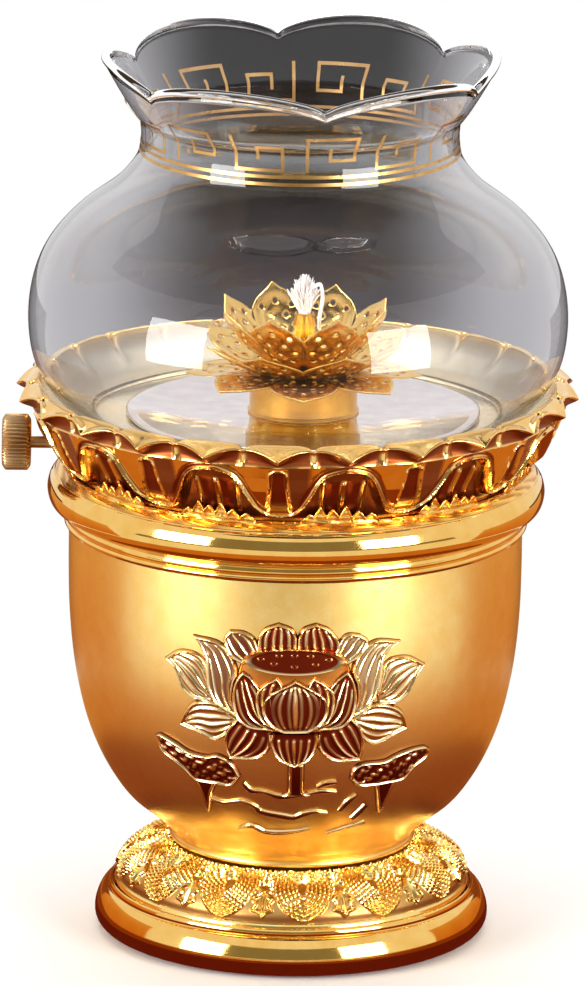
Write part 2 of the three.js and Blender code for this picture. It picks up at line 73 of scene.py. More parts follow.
FOOT_RADIUS = high("foot_ring", 0)
DOME_BOTTOM = low("foot_dome", 2)
DOME_TOP = high("foot_dome", 2)
URN_BOTTOM = low("body_shell", 2)
URN_TOP = high("body_shell", 2)
URN_RADIUS = 50.4
COLLAR_TOP = high("collar_ring", 2)
COLLAR_RADIUS = high("collar_ring", 0)
DISH_RADIUS = 47.8
DISH_Z = 117.0
CHIMNEY_BOTTOM = low("glass_chimney", 2)
CHIMNEY_WALL = 1.6
RUFFLE_AZIMUTH = math.radians(7.7)
BOLT_HOLE = 2.7
BURNER_X = (low("burner_cup", 0) + high("burner_cup", 0)) / 2
DECK_BOTTOM = low("deck_plate", 2)
DECK_TOP = high("deck_plate", 2)
BURNER_TOP = high("burner_cup", 2)
TUBE_HOLE = 2.55
TUBE_RADIUS = 2.25
TUBE_TOP = high("wick_tube", 2)
KNOB_INNER_X = high("wick_knob", 0)
KNOB_OUTER_X = low("wick_knob", 0)
KNOB_RADIUS = 6.25
SPINDLE_Y = (low("spindle", 1) + high("spindle", 1)) / 2
SPINDLE_Z = (low("spindle", 2) + high("spindle", 2)) / 2


# Curves and meshes
def smooth(points, count):
    """Catmull-Rom curve through points, an array (..., n, 2) or (..., n, 3), as count + 1 points."""
    points = np.asarray(points, float)
    n = points.shape[-2]
    first = 2 * points[..., :1, :] - points[..., 1:2, :]
    last = 2 * points[..., -1:, :] - points[..., -2:-1, :]
    padded = np.concatenate([first, points, last], axis=-2)
    t = np.linspace(0, n - 1, count + 1)
    i = np.minimum(t.astype(int), n - 2)
    f = (t - i)[:, None]
    a, b, c, d = (padded[..., i + k, :] for k in range(4))
    return 0.5 * (2 * b + (c - a) * f + (2 * a - 5 * b + 4 * c - d) * f**2 + (3 * b - 3 * c + d - a) * f**3)


def arc(centre, radius, start, end, count=8):
    angles = np.radians(np.linspace(start, end, count + 1))
    return np.stack([centre[0] + radius * np.cos(angles), centre[1] + radius * np.sin(angles)], axis=1)


def offset(line, distance):
    """The line (..., n, 2) moved to its left."""
    along = unit(np.gradient(line, axis=-2))
    return line + distance * np.stack([-along[..., 1], along[..., 0]], axis=-1)


def smoothstep(low_edge, high_edge, value):
    t = np.clip((value - low_edge) / (high_edge - low_edge), 0, 1)
    return t * t * (3 - 2 * t)


def bump(value, width):
    return np.exp(-((value / width) ** 2))


def linked(name, data):
    """A new object in the scene."""
    thing = bpy.data.objects.new(name, data)
    bpy.context.scene.collection.objects.link(thing)
    return thing


def piece(name, vertices, faces, material, body, slot, replaced=(), sharp=40, groove=None, pale=None):
    """A mesh object from vertices in millimetres. Two numbers a vertex tint its surface: one darkens it, for
    grooves and painted shade, the other washes it pale, for a painted highlight.
    """
    mesh = bpy.data.meshes.new(name)
    mesh.from_pydata((np.reshape(vertices, (-1, 3)) * MM).tolist(), [], faces)
    mesh.update()
    mesh.polygons.foreach_set("use_smooth", [True] * len(mesh.polygons))
    mesh.set_sharp_from_angle(angle=math.radians(sharp))
    for attribute, values in (("groove", groove), ("pale", pale)):
        if values is not None:
            layer = mesh.attributes.new(attribute, "FLOAT", "POINT")
            layer.data.foreach_set("value", np.clip(np.ravel(values), 0, 1).astype(np.float32))
    mesh.materials.append(material)
    thing = linked(name, mesh)
    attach(thing, body)
    if replaced:
        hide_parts(*replaced)
    return thing


def grid_faces(rows, columns, close_rows=False, close_columns=False):
    """Faces of a grid of rows x columns points, numbered row by row."""
    row_count = rows if close_rows else rows - 1
    column_count = columns if close_columns else columns - 1
    i, j = np.meshgrid(np.arange(row_count), np.arange(column_count), indexing="ij")
    i2, j2 = (i + 1) % rows, (j + 1) % columns
    quads = np.stack([i * columns + j, i2 * columns + j, i2 * columns + j2, i * columns + j2], axis=-1)
    return quads.reshape(-1, 4).tolist()


def round_steps(steps, start=0.0):
    """Azimuths of even steps all round."""
    return start + np.arange(steps) * TURN / steps


def level(value, like):
    """One value for every point of a grid like this one."""
    return np.full(like.shape[:2], value)


def at_each(steps, line):
    """One line repeated for each step round the axis."""
    return np.repeat(np.array(line, float)[None], steps, axis=0)


def lengths_along(line):
    """Distance of each point of a line from its start."""
    return np.concatenate([[0], np.cumsum(np.linalg.norm(np.diff(line, axis=0), axis=1))])


def unit(vectors):
    return vectors / np.maximum(np.linalg.norm(vectors, axis=-1, keepdims=True), 1e-9)


def revolved_points(profiles, azimuths, centre_x=0.0):
    """Points (azimuths, n, 3) of profiles (azimuths, n, 2) or of one profile (n, 2)."""
    profiles = np.asarray(profiles, float)
    if profiles.ndim == 2:
        profiles = at_each(len(azimuths), profiles)
    sine, cosine = np.sin(azimuths)[:, None], np.cos(azimuths)[:, None]
    radius, z = profiles[..., 0], profiles[..., 1]
    return np.stack([centre_x + radius * sine, -radius * cosine, z], axis=-1)


def revolve(
    name, profiles, material, body, slot, replaced=(),
    steps=240, start=0.0, closed=True, centre_x=0.0, **more,
):
    """A turned piece. Its profiles are closed lines, or reach from axis to axis when closed is False."""
    points = revolved_points(profiles, round_steps(steps, start), centre_x)
    faces = grid_faces(steps, points.shape[1], close_rows=True, close_columns=closed)
    thing = piece(name, points, faces, material, body, slot, replaced, **more)
    tidy_normals(thing)
    return thing


def tidy_normals(thing):
    """Joins points on one place and turns every face outwards."""
    work = bmesh.new()
    work.from_mesh(thing.data)
    bmesh.ops.remove_doubles(work, verts=work.verts, dist=1e-7)
    bmesh.ops.recalc_face_normals(work, faces=work.faces)
    if work.calc_volume(signed=True) < 0:
        bmesh.ops.reverse_faces(work, faces=work.faces)
    work.to_mesh(thing.data)
    work.free()


def tubes(name, lines, radii, material, body, slot, sides, replaced=()):
    """Round strands along lines, each an array (n, 3), with a radius for each or a radius for each point."""
    vertices, faces = [], []
    for line, radius in zip(lines, radii):
        line = np.asarray(line, float)
        along = unit(np.gradient(line, axis=0))
        side = unit(np.cross(along, [0.31, 0.83, 0.47]))
        other = np.cross(along, side)
        angle = round_steps(sides)
        width = np.broadcast_to(radius, len(line))[:, None, None]
        rim = side[:, None] * np.cos(angle)[None, :, None] + other[:, None] * np.sin(angle)[None, :, None]
        start = len(vertices)
        vertices.extend((line[:, None] + rim * width).reshape(-1, 3))
        faces.extend([[start + k for k in face] for face in grid_faces(len(line), sides, close_columns=True)])
        faces.append([start + k for k in reversed(range(sides))])
        faces.append([start + (len(line) - 1) * sides + k for k in range(sides)])
    return piece(name, vertices, faces, material, body, slot, replaced, sharp=80)


# Materials
def new_material(name):
    material = bpy.data.materials.new(name)
    material.use_nodes = True
    nodes, links = material.node_tree.nodes, material.node_tree.links
    return material, nodes, links, nodes["Principled BSDF"]


def noise_at(nodes, links, scale, detail, stretch=(1, 1, 1)):
    """A noise texture in object coordinates, with its scale in waves a metre."""
    place = nodes.new("ShaderNodeTexCoord")
    mapping = nodes.new("ShaderNodeMapping")
    mapping.inputs["Scale"].default_value = stretch
    noise = nodes.new("ShaderNodeTexNoise")
    noise.inputs["Scale"].default_value = scale
    noise.inputs["Detail"].default_value = detail
    links.new(place.outputs["Object"], mapping.inputs["Vector"])
    links.new(mapping.outputs["Vector"], noise.inputs["Vector"])
    return noise.outputs["Fac"]


def ramp(nodes, links, factor, stops):
    """A colour ramp; a stop is (place, colour) or (place, number)."""
    node = nodes.new("ShaderNodeValToRGB")
    elements = node.color_ramp.elements
    while len(elements) < len(stops):
        elements.new(0.5)
    for element, (place, value) in zip(elements, stops):
        element.position = place
        element.color = (value, value, value, 1) if isinstance(value, (int, float)) else (*value, 1)
    links.new(factor, node.inputs["Fac"])
    return node.outputs["Color"]


def blended(nodes, links, factor, first, second, kind="MIX"):
    node = nodes.new("ShaderNodeMix")
    node.data_type = "RGBA"
    node.blend_type = kind
    sockets = [s for s in node.inputs if s.type == "RGBA"]
    for socket, value in zip(sockets, (first, second)):
        if isinstance(value, tuple):
            socket.default_value = (*value, 1)
        else:
            links.new(value, socket)
    if isinstance(factor, (int, float)):
        node.inputs["Factor"].default_value = factor
    else:
        links.new(factor, node.inputs["Factor"])
    return next(s for s in node.outputs if s.type == "RGBA")


def bumped(nodes, links, shader, height, distance, strength=1.0):
    node = nodes.new("ShaderNodeBump")
    node.inputs["Distance"].default_value = distance
    node.inputs["Strength"].default_value = strength
    links.new(height, node.inputs["Height"])
    links.new(node.outputs["Normal"], shader.inputs["Normal"])


def maths(nodes, links, operation, *values, clamp=False):
    """A Math node on sockets and numbers."""
    node = nodes.new("ShaderNodeMath")
    node.operation = operation
    node.use_clamp = clamp
    for socket, value in zip(node.inputs, values):
        if isinstance(value, float):
            socket.default_value = value
        else:
            links.new(value, socket)
    return node.outputs[0]


def between(nodes, links, value, start, end, kind="SMOOTHSTEP"):
    """0 at start, 1 at end."""
    node = nodes.new("ShaderNodeMapRange")
    node.interpolation_type = kind
    node.inputs["From Min"].default_value = start
    node.inputs["From Max"].default_value = end
    links.new(value, node.inputs["Value"])
    return node.outputs["Result"]


def painted(nodes, name):
    """The value of one of a piece's point attributes."""
    node = nodes.new("ShaderNodeAttribute")
    node.attribute_name = name
    return node.outputs["Fac"]


# Roughness under the pale wash of painted highlight, and under the dark ground of grooves and painted shade
HIGHLIGHT_WASH_ROUGHNESS = (0.24, 0.24, 0.24)
RECESS_AND_SHADE_ROUGHNESS = (0.4, 0.4, 0.4)


def metal(
    name, colour, dark, roughness,
    speckle=0.0, grain=2400, grain_depth=2e-6, recess_and_shade=None, pale=None,
):
    """Plated or bare metal: cloudy colour, uneven polish, fine grain, a dark ground for grooves and painted
    shade, and a pale wash for a painted highlight.
    """
    material, nodes, links, shader = new_material(name)
    shader.inputs["Metallic"].default_value = 1.0
    cloudy = noise_at(nodes, links, 220, 6.0)
    colour_now = ramp(nodes, links, cloudy, [(0.3, dark), (0.65, colour)])
    rough_now = ramp(nodes, links, cloudy, [(0.25, roughness[1]), (0.75, roughness[0])])
    fine = noise_at(nodes, links, grain, 3.0)
    if speckle:
        spots = ramp(nodes, links, fine, [(0.3, (1 - speckle,) * 3), (0.7, (1.0, 1.0, 1.0))])
        colour_now = blended(nodes, links, 1.0, colour_now, spots, "MULTIPLY")
    # Painted highlight: a pale wash where the piece marks it.
    if pale:
        highlight_mask = painted(nodes, "pale")
        colour_now = blended(nodes, links, highlight_mask, colour_now, pale)
        rough_now = blended(nodes, links, highlight_mask, rough_now, HIGHLIGHT_WASH_ROUGHNESS)
    # Dark ground where the piece marks grooves and painted shade.
    if recess_and_shade:
        recess_and_shade_mask = ramp(nodes, links, painted(nodes, "groove"), [(0.12, 0.0), (0.78, 1.0)])
        colour_now = blended(nodes, links, recess_and_shade_mask, colour_now, recess_and_shade)
        rough_now = blended(nodes, links, recess_and_shade_mask, rough_now, RECESS_AND_SHADE_ROUGHNESS)
    links.new(colour_now, shader.inputs["Base Color"])
    links.new(rough_now, shader.inputs["Roughness"])
    bumped(nodes, links, shader, fine, grain_depth)
    return material


# Dark red ground of the reliefs' floors: patina with painted shade.
RED_GROUND = (0.135, 0.014, 0.004)

polished_gold = metal(
    "polished_gold", (0.90, 0.57, 0.17), (0.85, 0.48, 0.11), (0.05, 0.1), recess_and_shade=(0.30, 0.09, 0.015),
)
# The crown's pale wash is a painted highlight, and its dark ground is painted shade.
crown_gold = metal(
    "crown_gold", (0.92, 0.60, 0.22), (0.86, 0.50, 0.14), (0.05, 0.1),
    recess_and_shade=(0.20, 0.028, 0.006), pale=(0.99, 0.87, 0.66),
)
leaf_gold = metal(
    "leaf_gold", (0.95, 0.60, 0.15), (0.88, 0.44, 0.07), (0.16, 0.24),
    grain=1500, grain_depth=5e-6, recess_and_shade=(0.42, 0.12, 0.015),
)
cast_gold = metal(
    "cast_gold", (0.96, 0.73, 0.28), (0.92, 0.60, 0.16), (0.1, 0.18),
    grain=900, grain_depth=2e-5, recess_and_shade=(0.42, 0.21, 0.06),
)
relief_gold = metal(
    "relief_gold", (0.96, 0.76, 0.42), (0.92, 0.66, 0.30), (0.1, 0.16), recess_and_shade=RED_GROUND,
)
pod_gold = metal("pod_gold", (0.80, 0.30, 0.06), (0.66, 0.20, 0.03), (0.12, 0.2), recess_and_shade=RED_GROUND)
satin_gold = metal(
    "satin_gold", (0.93, 0.66, 0.24), (0.88, 0.56, 0.16), (0.29, 0.34),
    speckle=0.12, grain=5200, grain_depth=1.2e-5,
)
burner_brass = metal("burner_brass", (0.80, 0.46, 0.09), (0.70, 0.34, 0.05), (0.12, 0.2))
petal_brass = metal(
    "petal_brass", (0.94, 0.66, 0.24), (0.86, 0.54, 0.14), (0.14, 0.22),
    grain_depth=6e-6, recess_and_shade=(0.40, 0.15, 0.03),
)
aged_brass = metal(
    "aged_brass", (0.46, 0.29, 0.14), (0.34, 0.20, 0.09), (0.3, 0.45), grain=3600, grain_depth=1e-5,
)
deck_steel = metal("deck_steel", (0.88, 0.84, 0.84), (0.78, 0.74, 0.76), (0.05, 0.12))
zinc_steel = metal("zinc_steel", (0.62, 0.63, 0.65), (0.5, 0.51, 0.53), (0.3, 0.42))
key_gold = metal("key_gold", (0.66, 0.40, 0.15), (0.50, 0.27, 0.08), (0.25, 0.35))


def glass_material(name, tint):
    material, nodes, links, shader = new_material(name)
    shader.inputs["Transmission Weight"].default_value = 1.0
    shader.inputs["IOR"].default_value = 1.46
    shader.inputs["Roughness"].default_value = 0.0
    shader.inputs["Specular Tint"].default_value = (0.85, 0.85, 0.85, 1.0)
    streaks = noise_at(nodes, links, 30, 2.0, (1, 1, 4))
    tinted = ramp(nodes, links, streaks, [(0.3, tuple(c * 0.985 for c in tint)), (0.7, tint)])
    links.new(tinted, shader.inputs["Base Color"])
    bumped(nodes, links, shader, noise_at(nodes, links, 55, 1.5, (1, 1, 0.4)), 4e-5, 0.5)
    return material


chimney_glass = glass_material("chimney_glass", (0.975, 0.975, 0.985))
cup_glass = glass_material("cup_glass", (0.94, 0.97, 0.96))


def fibre_material(name, colour, dark, scale, sheen):
    material, nodes, links, shader = new_material(name)
    fibres = noise_at(nodes, links, scale, 5.0, (1, 1, 0.35))
    links.new(ramp(nodes, links, fibres, [(0.3, dark), (0.7, colour)]), shader.inputs["Base Color"])
    shader.inputs["Roughness"].default_value = 0.9
    shader.inputs["Sheen Weight"].default_value = sheen
    bumped(nodes, links, shader, fibres, 1.5e-4)
    return material


cotton = fibre_material("cotton", (0.93, 0.90, 0.87), (0.72, 0.66, 0.62), 1500, 0.3)
felt = fibre_material("felt", (0.035, 0.085, 0.05), (0.015, 0.045, 0.025), 2600, 0.5)

# The solids that scene.py shows as they are
for node, material in {
    "winder_bracket": burner_brass,
    "burner_nut": burner_brass,
    "star_wheel": burner_brass,
    "spindle_clip": zinc_steel,
    "foot_bolt": zinc_steel,
    "foot_washer": zinc_steel,
    "foot_nut": zinc_steel,
    "oil_cup": cup_glass,
}.items():
    solid = frame["nodes"][node]
    for place in solid.material_slots:
        place.material = material


# Foot
def felt_pad():
    radius, thick, edge = high("felt_pad", 0), high("felt_pad", 2), 0.25
    line = np.concatenate([
        [(0, 0)],
        arc((radius - edge, edge), edge, -90, 0, 4),
        arc((radius - edge, thick - edge), edge, 0, 90, 4),
        [(0, thick)],
    ])
    revolve("felt_pad_cloth", line, felt, "base", "felt", ["felt_pad"], closed=False)


def foot_ring():
    lift, ledge, inner, fillet, edge = low("foot_ring", 2), 9.6, 38.0, 3.2, FOOT_RADIUS
    line = np.concatenate([
        [(inner, 3.2), (inner, lift)],
        arc((edge - fillet, lift + fillet), fillet, -90, -4),
        smooth([(edge, 4.5), (edge - 0.2, 5.7), (43.3, 7.2), (42.7, 8.4), (41.9, 9.3), (41.1, ledge)], 24),
        smooth([(40.95, 9.75), (40.9, 10.4), (40.6, 11.0), (40.2, 11.1), (39.95, 10.7), (39.95, 10.2)], 14),
        [(40.0, ledge), (34, ledge), (34, 8)],
    ])
    revolve("foot_moulding", line, polished_gold, "base", "polished_gold", ["foot_ring"], steps=360)


# The scrolls on the dome: half outlines (across, up the slope) of a petal and of the leaf between two.
# Angles become millimetres at the radius called arc, here, on the crown and on its leaves.
DOME_PETALS = 13
DOME_PETAL_AZIMUTH = math.radians(4.2)
DOME_PETAL_COLUMNS = 96
DOME_ARC = 35
DOME_PETAL = [
    (0.0, 0.2), (1.7, 0.9), (3.6, 2.2), (5.2, 4.4), (6.3, 7.6), (6.3, 10.8), (5.2, 13.4), (3.4, 15.2),
]
DOME_LEAF = [(0.0, 1.0), (0.9, 2.0), (2.2, 2.6), (1.7, 4.0), (2.3, 5.2), (1.0, 6.4), (0.0, 7.8)]


def dome_relief(along):
    """Height of the cast scrolls over one petal's pitch, (columns, rows): nested ridges, leaves, grain."""
    pitch = TURN / DOME_PETALS
    turn = np.abs(np.arange(DOME_PETAL_COLUMNS) / DOME_PETAL_COLUMNS - 0.5) * pitch
    across = (turn * DOME_ARC)[:, None] + 0 * along[None]
    up = along[None] + 0 * across
    places = np.stack([across, up], axis=-1)
    outline = smooth(DOME_PETAL, 40)
    half = np.interp(along, outline[:, 1], outline[:, 0], left=-1, right=2.0)
    depth = distance_to(outline, places) * np.where(across < half, 1, -1)
    rings = sum(bump(depth - 0.3 - 0.95 * k, 0.27) for k in range(6))
    petal = rings * smoothstep(-0.4, 0.0, depth) * (0.75 + 0.25 * np.cos(up * 5 + across * 3))
    edge = pitch / 2 * DOME_ARC - across
    leaf_line = smooth(DOME_LEAF, 40)
    leaf_half = np.interp(along, leaf_line[:, 1], leaf_line[:, 0], left=-1, right=-1)
    leaf_places = np.stack([edge, up], axis=-1)
    leaf_depth = distance_to(leaf_line, leaf_places) * np.where(edge < leaf_half, 1, -1)
    leaf = np.maximum(bump(leaf_depth - 0.3, 0.3), bump(edge, 0.3) * smoothstep(0.2, 0.6, leaf_depth))
    twigs = bump(np.sin(across * 1.1 + up * 0.9) * np.cos(up * 1.5 - across * 0.8) - 0.45, 0.22)
    free = smoothstep(0.1, -0.5, depth) * smoothstep(0.1, -0.5, leaf_depth)
    twigs = twigs * smoothstep(5.5, 7.5, up) * free
    grain = smoothstep(0.1, 0.6, np.sin(across * 3.4 + np.sin(up * 1.9)) * np.sin(up * 3.8 + across * 1.3))
    grain = grain * smoothstep(11.5, 14.0, up)
    height = np.maximum(np.maximum(petal, leaf), np.maximum(0.8 * twigs, 0.7 * grain))
    ends = smoothstep(0.0, 0.5, along) * smoothstep(along[-1], along[-1] - 0.4, along)
    return height * ends[None]


def foot_dome():
    steps = DOME_PETAL_COLUMNS * DOME_PETALS
    edge = [(39.0, DOME_BOTTOM), (39.6, DOME_BOTTOM + 0.5), (39.6, 11.4), (39.3, 11.8)]
    skin = smooth([(38.9, 12.1), (38.7, 14), (36.9, 16.6), (33.4, 18.6), (29.5, 19.8), (26.6, 20.2)], 130)
    along = lengths_along(skin)
    height = np.tile(dome_relief(along), (DOME_PETALS, 1))
    normal = offset(skin, -1.0) - skin
    raised = skin[None] + normal[None] * (height * 0.75)[..., None]
    inner = [
        (26, DOME_TOP - 0.6), (25, DOME_TOP), (BOLT_HOLE, DOME_TOP), (BOLT_HOLE, 18.9), (30, 18.3),
        (36, 15.4), (37.6, 12.5), (37.8, DOME_BOTTOM),
    ]
    edge, inner = at_each(steps, edge), at_each(steps, inner)
    profiles = np.concatenate([edge, raised, inner], axis=1)
    # Darker ground between the scrolls, more towards the dome's lower edge.
    ground = 1 - smoothstep(0.1, 0.5, height)
    ground = ground * np.interp(along, [0, 6, 11], [0.8, 0.55, 0.25])[None]
    groove = np.concatenate([level(0.0, edge), ground, level(0.0, inner)], axis=1)
    revolve(
        "foot_cast_dome", profiles, cast_gold, "base", "cast_gold", ["foot_dome"], steps=steps,
        start=DOME_PETAL_AZIMUTH + TURN / DOME_PETALS / 2, groove=groove,
    )


# Urn
URN_LINE = smooth([
    (27.2, 23.6), (32.1, 28), (36.9, 32), (40.6, 37), (43.8, 43), (46.4, 50), (48.3, 58),
    (49.5, 66), (50.2, 75), (URN_RADIUS, 84), (URN_RADIUS, URN_TOP),
], 120)


def urn_radius(z):
    return np.interp(z, URN_LINE[:, 1], URN_LINE[:, 0])


def urn():
    inner = offset(URN_LINE, 2.2)
    inner = inner[inner[:, 1] > 25.2][::-1]
    line = np.concatenate([
        [(BOLT_HOLE, URN_BOTTOM), (26.6, URN_BOTTOM)],
        arc((26.7, URN_BOTTOM + 0.8), 0.8, -80, 70, 6),
        URN_LINE[1:],
        inner,
        [(24, 23.6), (BOLT_HOLE, 23.6)],
    ])
    revolve("urn_shell", line, satin_gold, "base", "satin_gold", ["body_shell"], steps=360)


def on_urn(x, z, lift):
    """Front-view places (x, z) carried back onto the urn's wall, raised by lift."""
    radius = urn_radius(z)
    lean = np.arctan(urn_radius(z + 0.5) - urn_radius(z - 0.5))
    y = -np.sqrt(np.maximum(radius**2 - x**2, 0))
    out = np.stack([x / radius * np.cos(lean), y / radius * np.cos(lean), -np.sin(lean)], axis=-1)
    return np.stack([x, y, z], axis=-1) + out * np.asarray(lift)[..., None]


def even(line, count):
    """A smooth curve through points, as count points with equal gaps."""
    curve = smooth(line, 160)
    along = lengths_along(curve)
    places = np.linspace(0, along[-1], count)
    return np.stack([np.interp(places, along, curve[:, axis]) for axis in range(2)], axis=1)


def distance_to(line, points):
    """Distance of each point (..., 2) to an open line (n, 2)."""
    start, step = line[:-1], np.diff(line, axis=0)
    reach = points[..., None, :] - start
    t = np.clip((reach * step).sum(-1) / np.maximum((step**2).sum(-1), 1e-12), 0, 1)
    return np.linalg.norm(reach - t[..., None] * step, axis=-1).min(axis=-1)


def skirted(grid, outward):
    """A grid of front-view places with a border ring moved outward, and where that ring is."""
    grid = np.pad(grid, ((1, 1), (1, 1), (0, 0)), mode="edge")
    ring = np.ones(grid.shape[:2], bool)
    ring[1:-1, 1:-1] = False
    away = np.zeros_like(grid)
    for column, other in ((0, -1), (-1, 0)):
        along = np.gradient(grid[:, column], axis=0)
        square = unit(np.stack([along[:, 1], -along[:, 0]], axis=-1))
        away[:, column] = square * np.sign((square * (grid[:, column] - grid[:, other])).sum())
    away[0] += grid[0] - grid[4]
    away[-1] += grid[-1] - grid[-5]
    return np.where(ring[..., None], grid + outward * unit(away), grid), ring


def rib_marks(s, t, half, count):
    """Fine ribs from base to tip, spread over the width of a form."""
    mark = 0 * half * s
    for k in range(count):
        place = (k - (count - 1) / 2) * 1.52 / max(count - 0.2, 1)
        span = smoothstep(0.06, 0.16, t) * smoothstep(0.9 - 0.3 * place**2, 0.78 - 0.3 * place**2, t)
        mark = np.maximum(mark, bump((s - place) * half, 0.19) * span)
    return mark


def blob_marks(x, z):
    """Blobs at uneven places, as on the leaves."""
    waves = np.sin(3.3 * x + 1.2 * z) * np.sin(3.0 * z - 1.4 * x + 0.7) + 0.6 * np.sin(1.7 * x - 2.3 * z)
    return smoothstep(0.25, 0.75, waves)


def relief_sheet(left, right, layer, ribs=0, patina_and_shade=0.9, thick=0.55, dome=0.35, blobs=False, base_rim=False):
    """A cast form between two edges that run from base to tip: points, faces, and the dark of grooves and
    painted shade.

    Its edge is a raised bead and its floor is dark, patina with painted shade, with ribs or blobs standing on
    it. A ring of painted shade runs round its foot.
    """
    rows, columns = 38, 33
    left, right = even(left, rows), even(right, rows)
    s = np.sin(np.linspace(-np.pi / 2, np.pi / 2, columns))[None]
    t = np.linspace(0, 1, rows)[:, None]
    flat = left[:, None] * (1 - s[..., None]) / 2 + right[:, None] * (1 + s[..., None]) / 2
    outline = np.concatenate([left, right[::-1], left[:1] if base_rim else left[:0]])
    edge = distance_to(outline, flat)
    bead = bump(edge - 0.28, 0.27)
    half = np.linalg.norm(right - left, axis=1)[:, None] / 2
    if blobs:
        mark = blob_marks(flat[..., 0], flat[..., 1]) * smoothstep(0.5, 0.9, edge)
    else:
        mark = rib_marks(s, t, half, ribs) * smoothstep(0.55, 0.8, edge)
    swell = dome * np.sqrt(np.clip(1 - s**2, 0, 1)) * np.sin(np.pi * np.clip(t, 0.08, 0.95))
    lift = layer + 0.1 + swell + thick * np.maximum(bead, 0.75 * mark)
    bright = np.clip(np.maximum(bead * 1.25, mark * 1.2), 0, 1)
    # The floor's dark is patina with painted shade, taken off the bead and the ribs or blobs; the skirt round
    # the form's foot is painted shade, fully dark.
    groove = patina_and_shade * (1 - bright)
    grid, ring = skirted(flat, 0.38)
    lift = np.where(ring, -0.15, np.pad(lift, 1, mode="edge"))
    groove = np.where(ring, 1.0, np.pad(groove, 1, mode="edge"))
    points = on_urn(grid[..., 0], grid[..., 1], lift)
    return points.reshape(-1, 3), grid_faces(rows + 2, columns + 2), groove.ravel()


def outwards(points, faces):
    """The faces of a part, turned so that they look away from the lamp's axis."""
    corners = np.asarray(points)[np.array([face[:4] for face in faces])]
    normal = np.cross(corners[:, 2] - corners[:, 0], corners[:, -1] - corners[:, 1])
    facing = (normal[:, :2] * corners.mean(axis=1)[:, :2]).sum()
    return [face[::-1] for face in faces] if facing < 0 else faces


def joined(parts):
    """Several (points, faces, dark shares for grooves and painted shade) as one."""
    vertices, faces, grooves = [], [], []
    for points, part_faces, groove in parts:
        start = len(vertices)
        vertices.extend(points)
        faces.extend([[start + k for k in face] for face in outwards(points, part_faces)])
        grooves.extend(groove)
    return vertices, faces, np.array(grooves)


def ellipse_patch(centre, size, lift_of, groove_of, ring=18, spokes=72):
    """A patch of the relief inside an ellipse; lift_of and groove_of take the share of its radius."""
    r = np.linspace(0, 1, ring)[:, None]
    a = round_steps(spokes)[None]
    x, z = centre[0] + size[0] * r * np.cos(a), centre[1] + size[1] * r * np.sin(a)
    points = on_urn(x, z, lift_of(r) + 0 * a)
    return points.reshape(-1, 3), grid_faces(ring, spokes, close_columns=True), (groove_of(r) + 0 * a).ravel()


POD = (0.15, 75.65)
POD_RIM = (11.2, 3.1)
SEEDS = [
    (-7.2, 0.5), (-3.3, 1.35), (0.0, 1.45), (3.4, 1.35), (7.3, 0.5), (-4.4, -0.45), (0.0, -1.1), (4.5, -0.55),
]


def pod_top_lift(r):
    ridges = 0.55 * bump((r - 0.965) * 9, 0.3) + 0.3 * bump((r - 0.86) * 9, 0.28)
    return 1.25 + ridges - 1.3 * smoothstep(0.985, 1.0, r)


def pod_top_groove(r):
    return np.clip(0.95 - 1.1 * bump((r - 0.965) * 9, 0.42) - 0.75 * bump((r - 0.86) * 9, 0.3), 0, 1)


def seed_pod():
    """The pod in the flower: a bowl with a flat oval top that carries the seeds."""
    wall_left = [(-7.5, 59.2), (-10.9, 61.6), (-13.0, 65.6), (-12.8, 69.5), (-11.9, 72.6), (-11.1, 75.6)]
    wall_right = [(-x + 0.3, z) for x, z in wall_left]
    wall = relief_sheet(wall_left, wall_right, 0.35, patina_and_shade=0.16, thick=0.3, dome=1.0)
    top = ellipse_patch(POD, POD_RIM, pod_top_lift, pod_top_groove)
    seeds = [
        ellipse_patch(
            (POD[0] + x, POD[1] + z), (0.95, 0.56),
            lambda r: 1.25 + 0.42 * bump(r - 0.72, 0.2) - 0.3 * smoothstep(0.92, 1.0, r),
            lambda r: np.clip(0.95 - bump(r - 0.74, 0.22), 0, 1), 8, 20,
        )
        for x, z in SEEDS
    ]
    return wall, [top, *seeds]


# Edges of the relief's forms, from base to tip, in front-view millimetres: left edge, right edge,
# then how far the form stands out, its ribs and how dark its floor is: patina with painted shade,
# less on most wing petals, where light falls on them.
BACK_PETALS = [
    ([(-11.2, 74.4), (-13.7, 75.9), (-14.9, 78.0), (-15.1, 80.0), (-13.8, 81.8)],
     [(-7.2, 76.7), (-8.0, 78.9), (-8.8, 80.6), (-11.0, 81.8), (-13.8, 81.8)], 0.1, 3, 0.75),
    ([(8.6, 76.8), (9.8, 79.6), (10.5, 80.8), (11.8, 81.6), (14.1, 81.3)],
     [(11.9, 74.7), (14.3, 76.2), (15.6, 78.1), (16.0, 79.7), (14.1, 81.3)], 0.1, 3, 0.6),
    ([(-7.7, 77.2), (-7.8, 79.4), (-7.5, 81.1), (-6.1, 82.9), (-3.4, 84.0)],
     [(0.5, 77.5), (0.6, 79.7), (0.4, 81.4), (-0.7, 83.0), (-3.4, 84.0)], 0.3, 4, 0.95),
    ([(0.9, 77.5), (0.8, 79.7), (1.2, 81.7), (2.3, 83.2), (4.7, 84.0)],
     [(9.9, 77.3), (9.8, 79.6), (8.8, 81.3), (7.2, 83.0), (4.7, 84.0)], 0.3, 4, 0.95),
]
